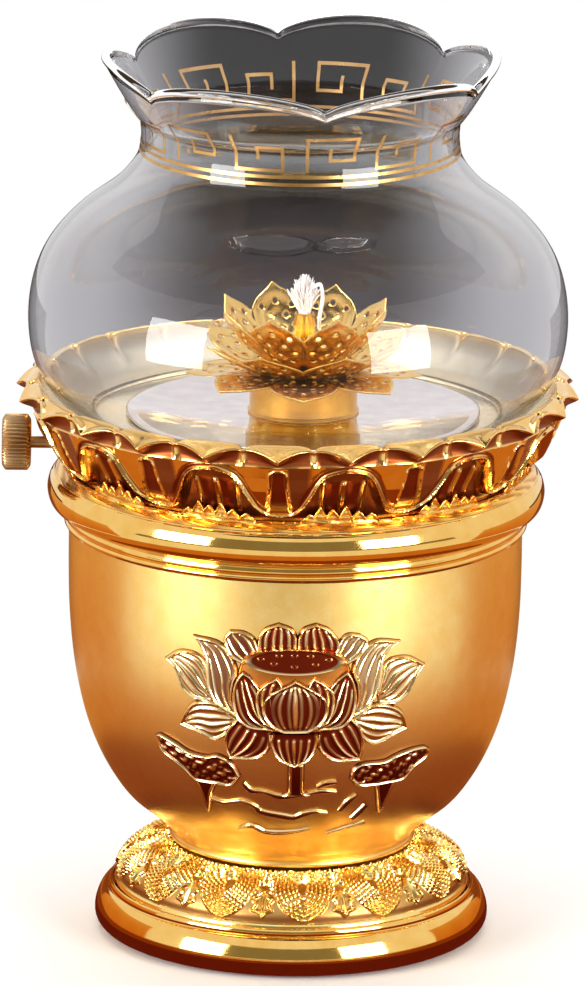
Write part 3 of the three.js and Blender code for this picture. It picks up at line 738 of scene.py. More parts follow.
WING_PETALS = [
    ([(-18.0, 64.8), (-22.0, 65.4), (-24.3, 67.4), (-25.3, 70.1), (-26.3, 72.1), (-28.0, 73.5)],
     [(-17.4, 67.2), (-18.4, 70.5), (-19.2, 73.9), (-21.3, 75.8), (-24.9, 75.9),
      (-28.0, 73.5)], 0.1, 4, 0.4),
    ([(18.2, 67.6), (19.0, 71.0), (19.6, 73.8), (21.4, 75.3), (25.0, 75.1), (28.5, 72.7)],
     [(18.8, 64.7), (22.6, 64.7), (24.9, 66.5), (26.1, 68.9), (27.2, 70.9), (28.5, 72.7)], 0.1, 4, 0.4),
    ([(-12.7, 61.2), (-16.3, 64.1), (-18.4, 67.7), (-18.9, 71.6), (-19.1, 74.8), (-20.1, 77.3),
      (-21.8, 79.8)],
     [(-11.4, 62.0), (-13.1, 65.4), (-13.0, 69.4), (-12.3, 72.3), (-13.4, 75.7), (-16.4, 79.0),
      (-21.8, 79.8)], 0.35, 3, 0.7),
    ([(12.0, 62.3), (13.6, 65.7), (13.6, 69.7), (12.7, 72.6), (13.8, 76.3), (17.5, 79.7), (23.0, 79.0)],
     [(13.4, 61.5), (16.3, 64.3), (18.2, 67.6), (19.0, 71.0), (19.4, 75.0), (20.8, 77.4),
      (23.0, 79.0)], 0.35, 3, 0.5),
    ([(-11.9, 62.5), (-14.9, 64.3), (-17.9, 65.2), (-21.1, 64.6), (-23.1, 62.4), (-24.6, 58.8)],
     [(-12.4, 60.4), (-14.2, 57.9), (-16.8, 56.2), (-19.2, 57.1), (-21.8, 58.0),
      (-24.6, 58.8)], 0.55, 4, 0.5),
    ([(12.8, 62.8), (15.0, 64.0), (18.2, 65.1), (21.5, 64.1), (23.7, 62.0), (24.7, 58.5)],
     [(13.4, 60.7), (15.1, 57.0), (17.5, 55.6), (20.0, 56.3), (22.3, 57.6), (24.7, 58.5)], 0.55, 4, 0.4),
]
LOW_PETALS = [
    ([(-11.9, 61.9), (-13.6, 60.0), (-14.7, 57.5), (-14.6, 54.8), (-13.7, 52.2)],
     [(-4.8, 58.6), (-4.8, 56.2), (-5.9, 53.9), (-8.6, 52.4), (-13.7, 52.2)], 0.7, 4, 0.95),
    ([(5.5, 58.7), (5.3, 56.3), (6.5, 53.9), (9.4, 52.1), (14.6, 52.1)],
     [(12.5, 62.2), (14.3, 60.1), (15.2, 57.3), (15.1, 54.6), (14.6, 52.1)], 0.7, 4, 0.95),
    ([(-4.5, 58.6), (-4.9, 56.5), (-4.1, 54.1), (-2.6, 52.2), (0.4, 50.8)],
     [(5.2, 58.7), (5.3, 56.6), (4.6, 54.2), (3.1, 52.2), (0.4, 50.8)], 0.9, 5, 0.95),
]
BOWL_PETALS = [
    ([(-4.8, 59.6), (-9.2, 59.9), (-11.9, 61.8), (-13.0, 65.4), (-12.9, 68.8), (-12.1, 71.2),
      (-10.9, 72.9)],
     [(-3.2, 60.4), (-4.8, 62.4), (-5.7, 65.3), (-6.5, 68.1), (-7.9, 70.3), (-9.3, 72.0),
      (-10.9, 72.9)], 0.95, 4, 0.95),
    ([(4.1, 60.5), (5.5, 62.5), (6.3, 65.4), (7.0, 68.3), (8.4, 70.6), (10.0, 72.2), (11.5, 73.2)],
     [(5.5, 59.7), (10.1, 60.1), (12.5, 62.1), (13.5, 65.7), (13.3, 69.2), (12.6, 71.5),
      (11.5, 73.2)], 0.95, 4, 0.95),
    ([(-2.6, 59.8), (-6.5, 61.4), (-8.0, 65.2), (-7.9, 68.3), (-6.3, 70.4), (-3.6, 72.1)],
     [(0.1, 59.9), (-0.5, 62.5), (-1.3, 65.4), (-1.9, 68.3), (-2.5, 70.6), (-3.6, 72.1)], 1.25, 3, 0.85),
    ([(0.9, 59.9), (1.7, 62.6), (2.2, 65.5), (2.7, 68.4), (3.3, 70.6), (4.3, 72.2)],
     [(3.6, 59.9), (7.4, 61.6), (8.8, 65.4), (8.6, 68.5), (6.8, 70.6), (4.3, 72.2)], 1.25, 3, 0.85),
    ([(-2.1, 59.4), (-4.8, 60.9), (-6.4, 63.5), (-6.5, 65.8), (-5.4, 67.9), (-3.0, 69.7), (-1.0, 70.7),
      (0.3, 71.6)],
     [(3.1, 59.5), (5.8, 61.1), (7.3, 63.7), (7.3, 66.0), (6.4, 67.9), (3.9, 69.7), (1.9, 70.8),
      (0.3, 71.6)], 1.7, 7, 0.9),
]
STEM = (
    [(-2.2, 43.3), (-0.9, 44.3), (-0.8, 47.5), (-0.8, 51.8)],
    [(3.9, 43.6), (2.4, 44.3), (2.3, 47.5), (2.3, 51.2)], 0.45, 0, 0.95,
)


def relief_piece(name, parts, material, replaced=()):
    vertices, faces, groove = joined(parts)
    piece(name, vertices, faces, material, "base", "relief_gold", replaced, sharp=60, groove=groove)


def lotus_relief():
    pod_wall, pod_top = seed_pod()
    parts = [
        *(relief_sheet(*petal) for petal in BACK_PETALS + WING_PETALS),
        *pod_top,
        *(relief_sheet(*petal) for petal in LOW_PETALS + BOWL_PETALS[:-1]),
        relief_sheet(*BOWL_PETALS[-1], base_rim=True),
        relief_sheet(*STEM, thick=0.35),
    ]
    relief_piece("lotus_casting", parts, relief_gold, ["lotus_relief"])
    relief_piece("lotus_pod_casting", [pod_wall], pod_gold)


def relief_bar(points, widths, height):
    """A raised stroke through front-view points, with a painted highlight along its upper side and painted
    shade below.
    """
    line = smooth(points, 12 * (len(points) - 1))
    half = np.interp(np.linspace(0, 1, len(line)), np.linspace(0, 1, len(widths)), widths)[:, None]
    along = unit(np.gradient(line, axis=0))
    normal = np.stack([-along[:, 1], along[:, 0]], axis=-1)
    normal *= np.where(normal[:, 1:] < 0, -1.0, 1.0)
    s = np.linspace(-1, 1, 17)[None]
    place = line[:, None] + normal[:, None] * (half * s)[..., None]
    lift = height * (1 - s**2) ** 0.5 * np.minimum(1, half / 0.5) + 0.2 * bump((1 - s) * half, 0.4)
    lift = np.where(np.abs(s) > 0.999, -0.12, lift)
    light = np.clip(1.3 * bump((1 - s) * half - 0.16, 0.26) + 0.5 * bump((1 + s) * half - 0.1, 0.14), 0, 1)
    points_3d = on_urn(place[..., 0], place[..., 1], lift)
    return points_3d.reshape(-1, 3), grid_faces(len(line), 17), (1 - light + 0 * half).ravel()


# Blade and stalk of the leaf at each side, written like the petals
LEAVES = {
    "left": [
        ([(-29.9, 54.5), (-28.9, 55.2), (-25.8, 54.0), (-22.5, 52.3), (-18.9, 51.8), (-16.2, 52.4),
          (-13.2, 50.7), (-11.5, 47.6)],
         [(-29.9, 54.5), (-28.7, 51.4), (-26.0, 49.5), (-23.5, 47.7), (-21.2, 45.4), (-16.6, 45.2),
          (-13.4, 45.0), (-11.5, 47.6)], 0.3, 0, 0.95),
        ([(-21.6, 45.6), (-20.0, 42.4), (-19.1, 39.6), (-18.4, 37.2)],
         [(-16.6, 45.6), (-17.6, 42.4), (-17.8, 39.6), (-18.0, 37.2)], 0.15, 0, 0.9),
    ],
    "right": [
        ([(29.6, 52.1), (28.4, 53.0), (25.2, 52.9), (22.5, 52.1), (19.8, 51.0), (15.4, 50.9),
          (13.2, 49.6), (12.6, 47.2)],
         [(29.6, 52.1), (29.2, 50.3), (26.4, 48.3), (24.2, 45.6), (20.6, 45.2), (17.3, 45.0),
          (14.4, 45.3), (12.6, 47.2)], 0.3, 0, 0.95),
        ([(18.2, 45.6), (18.4, 42.4), (18.6, 39.6), (18.7, 37.4)],
         [(22.8, 45.6), (21.4, 42.6), (20.2, 39.8), (19.3, 37.4)], 0.15, 0, 0.9),
    ],
}


def leaf_reliefs():
    for side, (blade, stalk) in LEAVES.items():
        parts = [relief_sheet(*blade, blobs=True, thick=0.5), relief_sheet(*stalk, thick=0.35)]
        relief_piece(f"leaf_casting_{side}", parts, relief_gold, [f"leaf_relief_{side}"])


# Water lines under the flower: the points of a stroke, then its half widths.
STROKES = [
    ([(-10.7, 45.8), (-9.1, 44.0), (-6.3, 43.9), (-3.0, 42.8), (-0.3, 42.9), (2.9, 43.5), (6.2, 44.1),
      (9.6, 43.9)],
     [0.5, 0.75, 0.5, 0.75, 0.6, 0.45, 0.65, 0.4]),
    ([(5.4, 45.3), (7.3, 46.1), (9.6, 46.4)], [0.5, 0.75, 0.5]),
    ([(-17.8, 40.8), (-15.0, 40.1), (-11.2, 41.0), (-8.2, 39.8), (-6.8, 38.4), (-2.4, 37.5), (0.3, 37.1),
      (2.5, 38.1), (4.9, 38.7), (7.6, 38.4)],
     [0.35, 0.6, 0.5, 0.6, 0.8, 0.8, 0.75, 0.7, 0.6, 0.3]),
    ([(-11.8, 33.1), (-9.0, 34.2), (-5.7, 32.7), (-1.3, 32.8), (3.9, 34.0)], [0.3, 0.6, 0.65, 0.6, 0.4]),
    ([(14.1, 42.8), (12.1, 41.0), (10.4, 38.8)], [0.4, 0.75, 0.6]),
    ([(16.1, 39.7), (14.6, 37.8), (13.1, 36.3)], [0.65, 0.75, 0.65]),
    ([(15.9, 35.0), (11.8, 33.7), (7.7, 32.4)], [0.5, 0.45, 0.25]),
]


def water_lines():
    strokes = [relief_bar(points, widths, 0.55) for points, widths in STROKES]
    relief_piece("water_line_casting", strokes, relief_gold)


# Collar
def collar():
    plug = 47.8
    line = np.concatenate([
        [(plug, URN_TOP + 0.3), (50.6, URN_TOP + 0.3)],
        smooth([
            (51.1, 93.5), (51.45, 94.1), (51.2, 94.7), (50.95, 94.9), (51.2, 95.1), (51.4, 95.7),
            (51.2, 96.5), (51.0, 96.8),
        ], 24),
        smooth([
            (51.3, 97.0), (52.6, 97.3), (54.5, 98.8), (COLLAR_RADIUS, 101.3), (54.8, 103.6), (54.0, 104.8),
        ], 36),
        smooth([(53.7, 105.05), (53.5, 104.95), (53.3, 105.25), (52.6, 105.8), (51.6, COLLAR_TOP)], 14),
        [(46.6, COLLAR_TOP), (46.6, 100), (43.2, 100), (43.2, 98.2), (46.2, 95), (46.2, 90), (plug, 90)],
    ])
    revolve("collar_moulding", line, polished_gold, "base", "polished_gold", ["collar_ring"], steps=360)


# Crown
CROWN_TIPS = 24
LONG_PETALS = 12
LONG_PETAL_AZIMUTH = math.radians(-3.9)
WALL_BOTTOM, WALL_TOP = 106.9, 121.2
HOLLOW_TOP = 119.0
CROWN_ARC = 55.0
CROWN_STEPS = 1440
ARCH_LINE = smooth([
    (16.0, 108.35), (13.2, 108.6), (11.0, 109.3), (9.3, 111.0), (7.9, 113.4), (6.8, 115.6), (5.8, 117.5),
    (4.3, 119.1), (2.2, 119.9), (0.0, 120.1),
], 60)
PETAL_FACE = [
    (WALL_BOTTOM, 50.9), (108.4, 51.6), (111.4, 54.3), (115.2, 56.3), (118.4, 57.6), (WALL_TOP, 58.9),
]
ARCH_FACE = [(WALL_BOTTOM, 49.2), (112.0, 51.3), (116.0, 53.6), (119.4, 55.6), (WALL_TOP, 57.4)]


def from_petal(azimuths, count):
    """Angle from the middle of the nearest of count petals."""
    pitch = TURN / count
    return (azimuths - LONG_PETAL_AZIMUTH + pitch / 2) % pitch - pitch / 2


def face_radius(line, z):
    return np.interp(z, [point[0] for point in line], [point[1] for point in line])


def inside_arch(from_arch, z):
    """How far each place of the wall is inside an arch, less than 0 outside it."""
    places = np.stack([from_arch + 0 * z, z + 0 * from_arch], axis=-1)
    near = distance_to(ARCH_LINE, places)
    opening = np.interp(z, ARCH_LINE[:, 1], ARCH_LINE[:, 0], left=99.0, right=-1.0)
    return np.where(from_arch < opening, near, -near)


def petal_middle(x, z):
    """The hollow up the middle of a long petal, the line that frames it, and what is beside it."""
    half = 2.7 - 0.95 * smoothstep(109.0, HOLLOW_TOP, z)
    round_end = np.hypot(x, (z - HOLLOW_TOP) * 1.2) - half
    frame_line = bump(np.where(z < HOLLOW_TOP, np.abs(x - half), round_end), 0.2)
    frame_line = frame_line * smoothstep(109.4, 110.2, z) * smoothstep(120.9, 120.5, z)
    hollow = smoothstep(half, half - 0.7, x) * smoothstep(109.0, 110.5, z) * smoothstep(120.6, 119.6, z)
    return hollow, frame_line, smoothstep(half, half + 0.6, x)


def crown_wall(azimuths):
    """Outer wall of the crown, (azimuths, rows, 2), and the painted shade at each point.

    Long petals with rounded feet stand between arches. Each has a framed hollow up its middle.
    """
    z = np.linspace(WALL_BOTTOM, WALL_TOP, 84)[None]
    turn = from_petal(azimuths, LONG_PETALS)[:, None]
    side = np.sign(turn)
    x = np.abs(turn) * CROWN_ARC
    from_arch = TURN / LONG_PETALS / 2 * CROWN_ARC - x
    inside = inside_arch(from_arch, z)
    hollow, lines, beside = petal_middle(x, z)
    petal, arch = face_radius(PETAL_FACE, z), face_radius(ARCH_FACE, z)
    cut_in = smoothstep(0.15, 0.9, inside)
    ridge = bump(inside - 0.05, 0.27)
    flank = beside * smoothstep(-0.1, -1.0, inside)
    crease = beside * bump(inside + 0.85, 0.4)
    swell = np.sqrt(np.clip(1 - (x / 8.5) ** 2, 0, 1)) * smoothstep(108.6, 113.0, z)
    bars = bump(from_arch - 0.25, 0.4) + bump(from_arch - 4.6, 0.5)
    holes = bump(from_arch - 2.3, 1.1) * smoothstep(109.0, 111.0, z) * smoothstep(117.2, 115.6, z)
    bars = bars * smoothstep(0.8, 1.6, inside) * smoothstep(108.6, 109.6, z) * smoothstep(117.4, 116.0, z)
    outer = petal + 0.5 * swell
    radius = outer + (arch - outer) * cut_in + (0.8 * bars - 0.5 * holes) * cut_in
    radius = radius + 0.7 * ridge + 0.5 * lines - 0.6 * hollow - 0.35 * crease
    # Painted shade: dark in the arches, hollows and creases, much darker on each petal's flank towards
    # growing azimuth than on the other, and taken off the ridges and frame lines.
    dark = cut_in * np.clip(0.72 + 0.5 * holes - 0.55 * bars, 0, 1)
    dark = dark + hollow * (0.85 - 0.5 * smoothstep(113.5, 110.0, z))
    arch_leaf = smoothstep(-0.6, -1.6, inside) * smoothstep(8.5, 7.0, from_arch)
    dark = dark + flank * (0.36 + 0.34 * side) * (1 - arch_leaf) + 0.75 * crease
    dark = np.clip(dark - 1.3 * ridge - 1.3 * lines, 0, 1) * smoothstep(WALL_BOTTOM, 108.0, z)
    return np.stack([radius, z + 0 * radius], axis=-1), dark


def crown_rim(azimuths, wall_top):
    """From the wall's top out under the curled tips, over them and down into the dish: line, painted shade
    and painted highlight.
    """
    u = np.abs(from_petal(azimuths, CROWN_TIPS)) / (TURN / CROWN_TIPS / 2)
    tip = (1 - u) ** 2.3
    reach = 59.9 + 2.6 * (1 - u) ** 1.4
    edge_z = 125.35 - 0.35 * u**6 - 2.0 * tip
    crest, crest_z = 58.2, 126.0 - 0.9 * u**7
    crease = 0.5 * bump((1 - u) * 3.9, 0.35)
    bead = 0.55 * bump((1 - u) * 7.8, 0.5)
    places = [
        (wall_top + 0.15, WALL_TOP + 0 * u),
        (0.6 * wall_top + 0.4 * (reach - 1.0) + bead - 0.35, 0.55 * WALL_TOP + 0.45 * (edge_z - 0.6)),
        (reach - 0.85 + bead, edge_z - 0.62),
        (reach - 0.12 + 0.5 * bead, edge_z - 0.2),
        (reach - 0.02 + 0.5 * bead, edge_z + 0.1),
        (reach - 0.5, edge_z + 0.38 - 0.3 * crease),
        (0.55 * reach + 0.45 * crest - 0.2, 0.55 * edge_z + 0.45 * crest_z + 0.15 * tip - crease),
        (crest + 0 * u, crest_z - crease),
        (56.9 + 0 * u, crest_z - 0.55 - crease),
        (54.8 - 0.5 * u**6, 121.6 - 0.6 * crease),
        (51.4 + 0 * u, 118.6 + 0 * u),
        (48.7 + 0 * u, DISH_Z + 0.15 + 0 * u),
    ]
    rim = smooth(np.stack([np.stack(place, axis=-1) for place in places], axis=1), 77)
    t = np.linspace(0, 11, 78)[None]
    # Painted shade under the curled tips, none at the notches, and in the fold at each notch; a painted
    # highlight down the inner slope into the dish.
    under = (0.75 - 0.75 * bump((1 - u) * 7.8, 0.6))[:, None]
    fold = 0.55 * bump((1 - u) * 3.9, 0.3)[:, None]
    dark = under * smoothstep(0.1, 0.5, t) * smoothstep(2.9, 2.3, t)
    dark = dark + fold * smoothstep(4.6, 5.4, t) * smoothstep(9.0, 7.5, t)
    pale = smoothstep(7.5, 9.0, t) + 0 * u[:, None]
    return rim, dark, pale


def crown():
    azimuths = round_steps(CROWN_STEPS)
    seat = [(44.9, 102.8), (46.3, 102.8), (46.3, 106.4), (50.0, 106.4), (50.2, 106.7)]
    dish = [(DISH_RADIUS, DISH_Z), (30, DISH_Z), (30, 115.2), (51.0, 115.2), (48.4, 111.6), (44.9, 107.6)]
    seat, dish = at_each(CROWN_STEPS, seat), at_each(CROWN_STEPS, dish)
    wall, wall_dark = crown_wall(azimuths)
    rim, rim_dark, rim_pale = crown_rim(azimuths, wall[:, -1, 0])
    profiles = np.concatenate([seat, wall, rim[:, 1:], dish], axis=1)
    # Painted shade on the seat under the crown and on the wall and rim; the painted highlight wash on the
    # rim's inner slope and the dish.
    groove = np.concatenate([level(0.8, seat), wall_dark, rim_dark[:, 1:], level(0.0, dish)], axis=1)
    pale = np.concatenate([level(0.0, seat), level(0.0, wall), rim_pale[:, 1:], level(1.0, dish)], axis=1)
    revolve(
        "crown_casting", profiles, crown_gold, "head", "crown_gold", ["petal_crown"],
        steps=CROWN_STEPS, groove=groove, pale=pale,
    )


# The leaves of a tuft: the middle in millimetres from the arch's middle, the half width and the tip's z.
LEAF_ROW = [
    (-7.0, 1.9, 109.2), (-4.6, 1.8, 110.7), (-1.9, 2.1, 110.0), (0.9, 1.7, 111.0), (3.5, 2.0, 109.9),
    (6.4, 1.9, 109.3),
]
LEAF_ARC = 52.0
LEAF_FOOT = 107.35


def leaf_tops(azimuths):
    """The tufts' upper edge at each azimuth, then where leaves have their vein and where their edge."""
    pitch = TURN / LONG_PETALS
    turn = (azimuths - LONG_PETAL_AZIMUTH) % pitch - pitch / 2
    order = np.floor(((azimuths - LONG_PETAL_AZIMUTH) % TURN) / pitch)
    x = turn * LEAF_ARC + 0.5 * np.sin(order * 2.3)
    top = LEAF_FOOT + 0.15 * np.sin(azimuths * 61)
    vein, gap = 0 * azimuths, 0 * azimuths
    for k, (middle, half, tip) in enumerate(LEAF_ROW):
        tip = tip + 0.25 * np.sin(order * 1.7 + k)
        reach = np.abs(x - middle + 0.2 * np.sin(order + k)) / half
        leaf = LEAF_FOOT + (tip - LEAF_FOOT) * np.clip(1 - reach**1.25, 0, 1) ** 0.85
        front = leaf > top
        vein = np.where(front, bump(reach * half, 0.3), vein)
        gap = np.where(front, smoothstep(0.55, 0.95, reach), gap)
        top = np.maximum(top, leaf)
    return top[:, None], vein[:, None], gap[:, None]


def crown_leaves():
    """The cast band round the crown's foot: a wavy slope, and a tuft of leaves before each arch."""
    azimuths = round_steps(CROWN_STEPS)
    top, vein, gap = leaf_tops(azimuths)
    t = np.linspace(0, 1, 16)[None]
    z = 106.75 + (top - 106.75) * t
    along = (azimuths * LEAF_ARC)[:, None]
    lip = bump(top - 0.3 - z, 0.35)
    waves = np.sin(along * 0.9 + 2.2 * np.sin(along * 0.23) + z * 3.1) * np.sin(along * 0.41 - z * 2.3)
    radius = 51.75 + 0.5 * t**2 + (0.12 * vein - 0.4 * gap) * t + 0.3 * lip + 0.2 * waves * (1 - t)
    front = np.stack([radius, z], axis=-1)
    slope = [(53.35, 105.35), (53.0, 105.75), (52.6, 106.0), (52.2, 106.3), (51.9, 106.55)]
    ripple = 0.5 + 0.5 * np.sin(along * 0.7 + 1.8 * np.sin(along * 0.19) + np.arange(5)[None] * 1.3)
    ripple_reach = np.outer([0.2, 1, 1, 1, 0.6], [0.12, 0.16])
    slope = at_each(CROWN_STEPS, slope) + ripple[..., None] * ripple_reach
    edge = np.stack([radius[:, -1:], top], axis=-1)
    foot = at_each(CROWN_STEPS, [(50.9, 106.95), (50.7, 106.5), (51.8, 106.12), (52.7, 105.86)])
    back = np.concatenate([edge + (-0.35, 0.05), edge + (-0.8, -0.25), foot], axis=1)
    shade = 0.75 * gap * smoothstep(0.1, 0.5, t) + 0.4 * smoothstep(0.1, -0.5, waves) + 0.25 * (1 - t)
    shade = np.clip(shade, 0, 1) * smoothstep(1.0, 0.86, t)
    # Darker in the slope's ripple troughs; painted shade at the leaves' edges, in their wave troughs and low
    # down, and behind them.
    groove = np.concatenate([0.55 * (1 - ripple), shade, level(0.6, back)], axis=1)
    revolve(
        "crown_leaf_band", np.concatenate([slope, front, back], axis=1), leaf_gold, "head", "crown_gold",
        steps=CROWN_STEPS, sharp=60, groove=groove,
    )


# Burner
def deck():
    radius, edge, face = 39.7, 0.6, DECK_TOP - 0.25
    line = np.concatenate([
        [(TUBE_HOLE, DECK_BOTTOM), (radius - 0.5, DECK_BOTTOM)],
        arc((radius - edge, DECK_TOP - edge), edge, -40, 90, 6),
        [(radius - 2.2, DECK_TOP), (radius - 2.5, face), (BURNER_X + 13.4, face), (TUBE_HOLE, face)],
    ])
    revolve("deck_disc", line, deck_steel, "head", "deck_steel", ["deck_plate"], centre_x=BURNER_X)


def burner_turned(name, line, replaced, steps=64):
    revolve(name, line, burner_brass, "head", "burner_brass", [replaced], steps=steps, centre_x=BURNER_X)


def burner_cup():
    radius, wall, bottom = 12.0, 0.8, DECK_TOP - 0.2
    line = np.concatenate([
        [(radius - wall, bottom), (radius + 0.35, bottom)],
        arc((radius + 0.1, bottom + 0.5), 0.3, -60, 80, 8),
        [(radius, bottom + 1.1), (radius, BURNER_TOP - 0.9)],
        arc((radius - 0.8, BURNER_TOP - 0.8), 0.8, 5, 90, 6),
        [(TUBE_HOLE, BURNER_TOP), (TUBE_HOLE, BURNER_TOP - wall), (radius - wall, BURNER_TOP - wall)],
    ])
    burner_turned("burner_body", line, "burner_cup", steps=120)


def wick_tube():
    bottom, bore, radius, flange = low("wick_tube", 2), 1.8, TUBE_RADIUS, 3
    line = [
        (bore, bottom), (radius, bottom), (radius, 115.1), (flange, 115.3), (flange, 116), (radius, 116),
        (radius, TUBE_TOP - 0.35), (radius - 0.1, TUBE_TOP - 0.08), (radius - 0.2, TUBE_TOP),
        (bore, TUBE_TOP),
    ]
    burner_turned("wick_tube_brass", line, "wick_tube")


def lock_ring():
    bottom, top, bore = low("flower_lock_ring", 2), high("flower_lock_ring", 2), 2.35
    line = np.concatenate([
        [(bore, bottom), (4.2, bottom), (4.2, bottom + 0.9)],
        arc((3.5, top - 0.6), 0.6, 10, 90, 5),
        [(bore, top)],
    ])
    burner_turned("flower_lock", line, "flower_lock_ring")


def petal_outline(length, width):
    """Half of a petal's outline, (along, across): narrow foot, full belly and a drawn-out tip."""
    shares = [(0, 0.30), (0.14, 0.34), (0.4, 0.46), (0.64, 0.5), (0.82, 0.36), (0.94, 0.11), (1, 0.0)]
    return smooth([(along * length, across * width) for along, across in shares], 22)


def pierced_petal(length, width, holes):
    """A flat petal with round holes as a triangle mesh: points (n, 2) and faces."""
    half = petal_outline(length, width)
    outline = [*half, *[(a, -b) for a, b in half[-2::-1]]]
    points, edges = [], []

    def loop(line):
        start = len(points)
        points.extend(Vector(p) for p in line)
        edges.extend((start + k, start + (k + 1) % len(line)) for k in range(len(line)))

    loop(outline)
    for along, across, radius in holes:
        loop([(along + radius * math.cos(a), across + radius * math.sin(a)) for a in round_steps(12)])
    step = 0.55
    for i in range(1, int(length / step)):
        reach = np.interp(i * step, half[:, 0], half[:, 1]) - 0.35
        aside = int(reach / step) if reach > 0 else -1
        for j in range(-aside, aside + 1):
            a, b = i * step, j * step
            if all(math.hypot(a - x, b - y) > r + 0.3 for x, y, r in holes):
                points.append(Vector((a, b)))
    found = delaunay_2d_cdt(points, edges, [], 0, 1e-5)
    flat = np.array([tuple(p) for p in found[0]])
    faces = []
    for face in found[2]:
        middle = flat[list(face)].mean(axis=0)
        inside = abs(middle[1]) < np.interp(middle[0], half[:, 0], half[:, 1], left=-1, right=-1)
        if inside and all(math.hypot(middle[0] - x, middle[1] - y) > r * 0.97 for x, y, r in holes):
            faces.append(list(face))
    return flat, faces


FLOWER_PETALS = 8
# Holes of a petal, as shares of its length and width. One off the middle has a twin across it.
PETAL_HOLES = [
    (along, side * across)
    for along, across in [(0.34, 0.16), (0.5, 0.27), (0.47, 0.0), (0.63, 0.14), (0.74, 0.27), (0.8, 0.0)]
    for side in ((1, -1) if across else (1,))
]


def flower_layer(layer, washer_z, bend, width, phase, cup, hole_radius, wobble):
    """Pierced petals round a washer. bend is the petal's centre line in radius and height."""
    line = smooth([(4.6, washer_z), *bend], 80)
    along = lengths_along(line)
    length = along[-1]
    holes = [(a * length, b * width, hole_radius) for a, b in PETAL_HOLES]
    flat, petal_faces = pierced_petal(length, width, holes)
    slope = unit(np.gradient(line, axis=0))
    radius, height = (np.interp(flat[:, 0], along, line[:, axis]) for axis in range(2))
    slope_r, slope_z = (np.interp(flat[:, 0], along, slope[:, axis]) for axis in range(2))
    across = flat[:, 1]
    ring = np.hypot((flat[:, 0] - 0.58 * length) / (0.30 * length), across / (0.34 * width))
    groove = np.clip(0.35 * bump(ring - 0.75, 0.1) + 0.3 * bump(ring, 0.2), 0, 1)
    emboss = 0.16 * bump(ring - 1.0, 0.16) + 0.14 * bump(ring - 0.5, 0.16)
    lift = cup * (across / (width / 2)) ** 2 + emboss
    parts = []
    for k in range(FLOWER_PETALS):
        angle = phase + k * TURN / FLOWER_PETALS + math.radians(wobble * math.sin(k * 2.3 + phase))
        tilt = 1 + 0.02 * wobble * math.sin(k * 1.7 + 1)
        r = radius - lift * slope_z
        z = washer_z + (height - washer_z) * tilt + lift * slope_r
        points = np.stack([
            BURNER_X + r * math.sin(angle) + across * math.cos(angle),
            -r * math.cos(angle) + across * math.sin(angle),
            z,
        ], axis=-1)
        parts.append((points, petal_faces, groove))
    washer = revolved_points([(r, washer_z) for r in (2.6, 4.0, 5.8)], round_steps(48), BURNER_X)
    parts.append((washer.reshape(-1, 3), grid_faces(48, 3, close_rows=True), level(0.0, washer).ravel()))
    vertices, faces, groove = joined(parts)
    thing = piece(
        f"flower_{layer}", vertices, faces, petal_brass, "head", "petal_brass", [f"petal_ring_{layer}"],
        sharp=50, groove=groove,
    )
    sheet = thing.modifiers.new("sheet", "SOLIDIFY")
    sheet.thickness = 0.3 * MM
    sheet.offset = 0


def flower():
    first = BURNER_TOP + 0.55
    between_petals = TURN / FLOWER_PETALS / 2
    flower_layer(
        "lower", first, [(8, first + 0.1), (13, first + 0.15), (20, first + 0.1), (26.2, first - 0.5)],
        width=14.6, phase=0.0, cup=0.5, hole_radius=0.55, wobble=2.5,
    )
    flower_layer(
        "middle", first + 0.8,
        [(7.5, first + 0.9), (12, first + 1.1), (17, 131.4), (21, 134.0), (23.6, 136.2)],
        width=14.6, phase=between_petals, cup=0.9, hole_radius=0.55, wobble=2.5,
    )
    flower_layer(
        "upper", first + 1.6, [(7, 129.9), (11, 132.8), (16, 138), (19.4, 143.9)],
        width=13.4, phase=between_petals, cup=1.1, hole_radius=0.62, wobble=1.5,
    )


# Winder
def knob():
    steps, ridges = 420, 42
    azimuths = round_steps(steps)
    tooth = KNOB_RADIUS - 0.42 + 0.4 * (0.5 + 0.5 * np.cos(azimuths * ridges)) ** 0.7
    thick = KNOB_INNER_X - KNOB_OUTER_X
    inner_face = [(0.0, 0.35), (1.35, 0.35), (3.6, 0.3), (5.1, 0.05), (5.5, 0.25)]
    rim = [
        (tooth - 0.18, 0.62), (tooth, 0.9), (tooth, thick / 2), (tooth, thick - 0.9),
        (tooth - 0.18, thick - 0.62),
    ]
    outer_face = [(5.5, thick - 0.25), (5.1, thick - 0.05), (3.6, thick - 0.02), (0.0, thick)]
    points = np.stack([
        np.stack([
            np.full(steps, KNOB_INNER_X - place),
            SPINDLE_Y + radius * np.cos(azimuths),
            SPINDLE_Z + radius * np.sin(azimuths),
        ], axis=-1)
        for radius, place in [*inner_face, *rim, *outer_face]
    ], axis=1)
    faces = grid_faces(steps, points.shape[1], close_rows=True)
    thing = piece(
        "knurled_knob", points, faces, aged_brass, "winder", "aged_brass", ["wick_knob"], sharp=28,
    )
    tidy_normals(thing)


def spindle():
    start, end = low("spindle", 0), high("spindle", 0)
    line = np.array([(x, SPINDLE_Y, SPINDLE_Z) for x in np.linspace(start + 0.05, end - 0.05, 30)])
    radii = np.full(30, 1.3)
    radii[[0, -1]] = 1.1
    tubes("wick_spindle", [line], [radii], aged_brass, "winder", "aged_brass", 32, ["spindle"])


